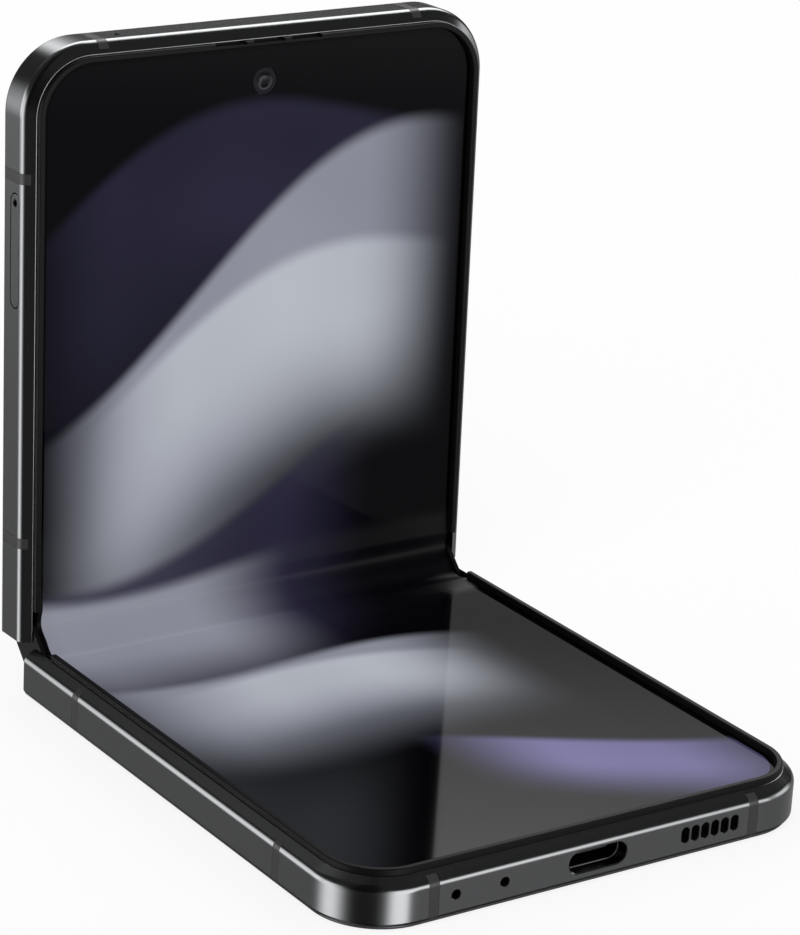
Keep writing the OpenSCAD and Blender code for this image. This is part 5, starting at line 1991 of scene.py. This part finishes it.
@dataclass
class Studio:
    """Floor and surroundings that the camera sees white, soft fields that gloss sees, and soft lamps."""

    floor_half: float = 4.0
    floor_levels: Pair = (-0.002, -0.0001)
    floor_tone: float = 0.95
    floor_white: float = 0.85  # share of the floor that the camera sees as plain white
    ambient: float = 0.5
    horizon: float = 0.06
    below: float = 0.24
    all_round: float = 0.056
    aim: Triple = (0, 0, 0.04)
    lamps: tuple[tuple[str, Triple, Pair, float], ...] = (
        ("key", (-0.9, -0.7, 1.1), (0.9, 0.9), 8.0),
        ("fill", (1.0, -0.6, 0.8), (0.8, 0.8), 4.5),
        ("back", (0.2, 1.1, 0.9), (1.2, 0.5), 5.5),
    )
    behind: tuple[SoftField, ...] = (
        SoftField(-60, -33, -0.22, 0.24, 2.7, soft=5, fade=0.10),
        SoftField(-92, -60, -1.0, 0.24, 2.7, soft=14, fade=0.10),
        SoftField(4, 72, 0.46, 0.84, 4.4, soft=8, fade=0.08),
        SoftField(-40, -14, 0.55, 0.97, 0.16, soft=10, fade=0.08),
        SoftField(20, 60, 0.31, 0.39, 0.42, soft=12, fade=0.04),
    )
    before: tuple[SoftField, ...] = (
        SoftField(-12, 42, -0.15, 0.24, 3.0, soft=10, fade=0.07, slant=0.03, pivot=27),
        SoftField(52, 90, -0.08, 0.3, 2.2, soft=10, fade=0.07),
    )
    shades: tuple[SoftField, ...] = (
        SoftField(-155, -108, -1.5, 1.5, 0.85, soft=8),
        SoftField(-40, 0, -1.5, -0.25, 0.25, soft=6, fade=0.06),
        SoftField(-190, 190, -1.5, -0.56, 0.8, fade=0.08),
    )

    def build(self) -> None:
        """Makes floor, world and lamps."""
        self.floor()
        self.world()
        for lamp in self.lamps:
            self.lamp(*lamp)

    def lamp(self, name: str, at: Triple, size: Pair, power: float) -> None:
        """A soft rectangular lamp aimed at the phone; gloss shows the world's own soft fields in its place.

        Args:
            name: name of the lamp.
            at: its place in metres.
            size: its two sides in metres.
            power: its power in watts.
        """
        data = bpy.data.lights.new(name, "AREA")
        data.shape = "RECTANGLE"
        data.size, data.size_y = size
        data.energy = power
        obj = bpy.data.objects.new(name, data)
        obj.visible_glossy = False
        aim = Vector(self.aim) - Vector(at)
        obj.matrix_world = Matrix.Translation(at) @ aim.to_track_quat("-Z", "Y").to_matrix().to_4x4()
        bpy.context.scene.collection.objects.link(obj)

    def floor(self) -> None:
        """Floor that the camera sees white with the phone's shadow; gloss looks through it to the world."""
        h, (low, top) = self.floor_half, self.floor_levels
        obj = solid_object("floor", block((-h, -h, low), (h, h, top)))
        material = bpy.data.materials.new("floor")
        material.use_nodes = True
        book = NodeBook(material.node_tree)
        matt = book.node("ShaderNodeBsdfDiffuse", None, {"Color": grey(self.floor_tone)})
        white = book.node("ShaderNodeEmission", None, {"Color": grey(1), "Strength": 1.0})
        share = self.ray(book, "Is Camera Ray") * self.floor_white
        seen = book.node("ShaderNodeMixShader", None, {0: share, 1: matt, 2: white})
        clear = book.node("ShaderNodeBsdfTransparent")
        mixed = book.node("ShaderNodeMixShader", None, {0: self.mirrored(book), 1: seen, 2: clear})
        book.close("ShaderNodeOutputMaterial", mixed)
        obj.data.materials.append(material)

    @staticmethod
    def ray(book: NodeBook, kind: str) -> Socket:
        """1 for rays of a kind."""
        return book.node("ShaderNodeLightPath", None, None, kind)

    def mirrored(self, book: NodeBook) -> Socket:
        """1 for rays of gloss and glass."""
        return self.ray(book, "Is Glossy Ray").most(self.ray(book, "Is Transmission Ray"))

    def surroundings(self, book: NodeBook) -> Socket:
        """The light that gloss and glass see: pale below, dim above, with soft bright fields.

        Args:
            book: the world's nodes.

        Returns:
            The light.
        """
        x, y, up = book.split(book.node("ShaderNodeTexCoord", None, None, "Generated"))
        around = book.maths("ARCTAN2", x, y) * math.degrees(1)
        facing = book.maths("ARCTAN2", x, y * -1.0) * math.degrees(1)
        light = up.ramp(self.horizon, -self.horizon) * self.below + self.all_round
        for fields, across in ((self.behind, around), (self.before, facing)):
            for one in fields:
                light = light + one.glow(across, up)
        for one in self.shades:
            light = light * (1 - one.glow(around, up))
        return light

    def world(self) -> None:
        """White to the camera, soft fields to gloss and glass, plain for light."""
        world = bpy.data.worlds.new("studio")
        world.use_nodes = True
        bpy.context.scene.world = world
        book = NodeBook(world.node_tree)
        camera, gloss = self.ray(book, "Is Camera Ray"), self.mirrored(book)
        strength = camera + (1 - camera) * (gloss * self.surroundings(book) + (1 - gloss) * self.ambient)
        back = book.node("ShaderNodeBackground", None, {"Color": grey(1), "Strength": strength})
        book.close("ShaderNodeOutputWorld", back)


PLAIN_NODES = {  # finish and slot of the CAD nodes
    ("rail_inside_painted_shade", "rail_metal"): ("lower_frame", "upper_frame"),
    ("band", "band_plastic"): ("lower_antenna_bands", "upper_antenna_bands"),
    ("back", "back_glass"): ("lower_back_glass", "upper_back_glass"),
    ("rim", "rim_plastic"): ("lower_bezel", "upper_bezel"),
    ("black", "display"): ("lower_display", "upper_display", "fold_display"),
    ("cover_screen", "display"): ("cover_display",),
    ("steel", "steel"): ("lower_display_plate", "upper_display_plate", "usb_shell", "vibration_motor",
        "lower_screws", "upper_screws", "hinge_brackets", "hinge_pins", "friction_springs",
        "hinge_center_plate", "board_shields", "earpiece", "card_reader", "key_switches"),
    ("battery", "battery_film"): ("lower_battery", "upper_battery"),
    ("copper", "copper"): ("charging_coil",),
    ("board", "board"): ("lower_board", "main_board"),
    ("tongue", "black_plastic"): ("usb_tongue",),
    ("black", "black_plastic"): ("loudspeaker", "front_camera", "rear_cameras"),
    ("mesh", "mesh"): ("speaker_mesh", "earpiece_mesh"),
    ("microphone", "gold_can"): ("bottom_microphones", "top_microphone"),
    ("magnet", "magnet"): ("lower_magnets", "upper_magnets"),
    ("gear_steel", "steel"): ("lower_hinge_arms", "upper_hinge_arms", "idler_gears_lower",
        "idler_gears_upper"),
    ("spine", "spine_metal"): ("hinge_spine_cover",),
    ("cap", "spine_metal"): ("hinge_end_caps",),
    ("flex", "flex_film"): ("hinge_flex",),
    ("lens", "lens_glass"): ("front_camera_lens", "camera_lenses"),
    ("rail", "rail_metal"): ("camera_rings", "sim_tray", "volume_key"),
    ("flash", "flash_plastic"): ("flash_lens",),
    ("card", "card"): ("nano_card",),
    ("key", "key_metal"): ("side_key",),
}


def paint_nodes() -> None:
    """Gives every CAD node its finish."""
    for (finish, slot), names in PLAIN_NODES.items():
        for name in names:
            materials = frame["nodes"][name].data.materials
            materials.clear()
            materials.append(Paints.get(finish))


def main() -> None:
    """Builds the phone and the studio."""
    bpy.context.scene.view_settings.view_transform = "Standard"
    paint_nodes()
    LowerHalf(Place.LOWER, "lower", SIZE).build()
    UpperHalf(Place.UPPER, "upper", SIZE).build()
    Spine().build()
    Screen(Place.LOWER, SIZE).build(None, "lower_display", "fold_display")
    Screen(Place.UPPER, SIZE).build((SIZE.camera_v, SIZE.camera_r), "upper_display")
    Camera().build()
    Studio().build()


if __name__ == "__main__":
    main()
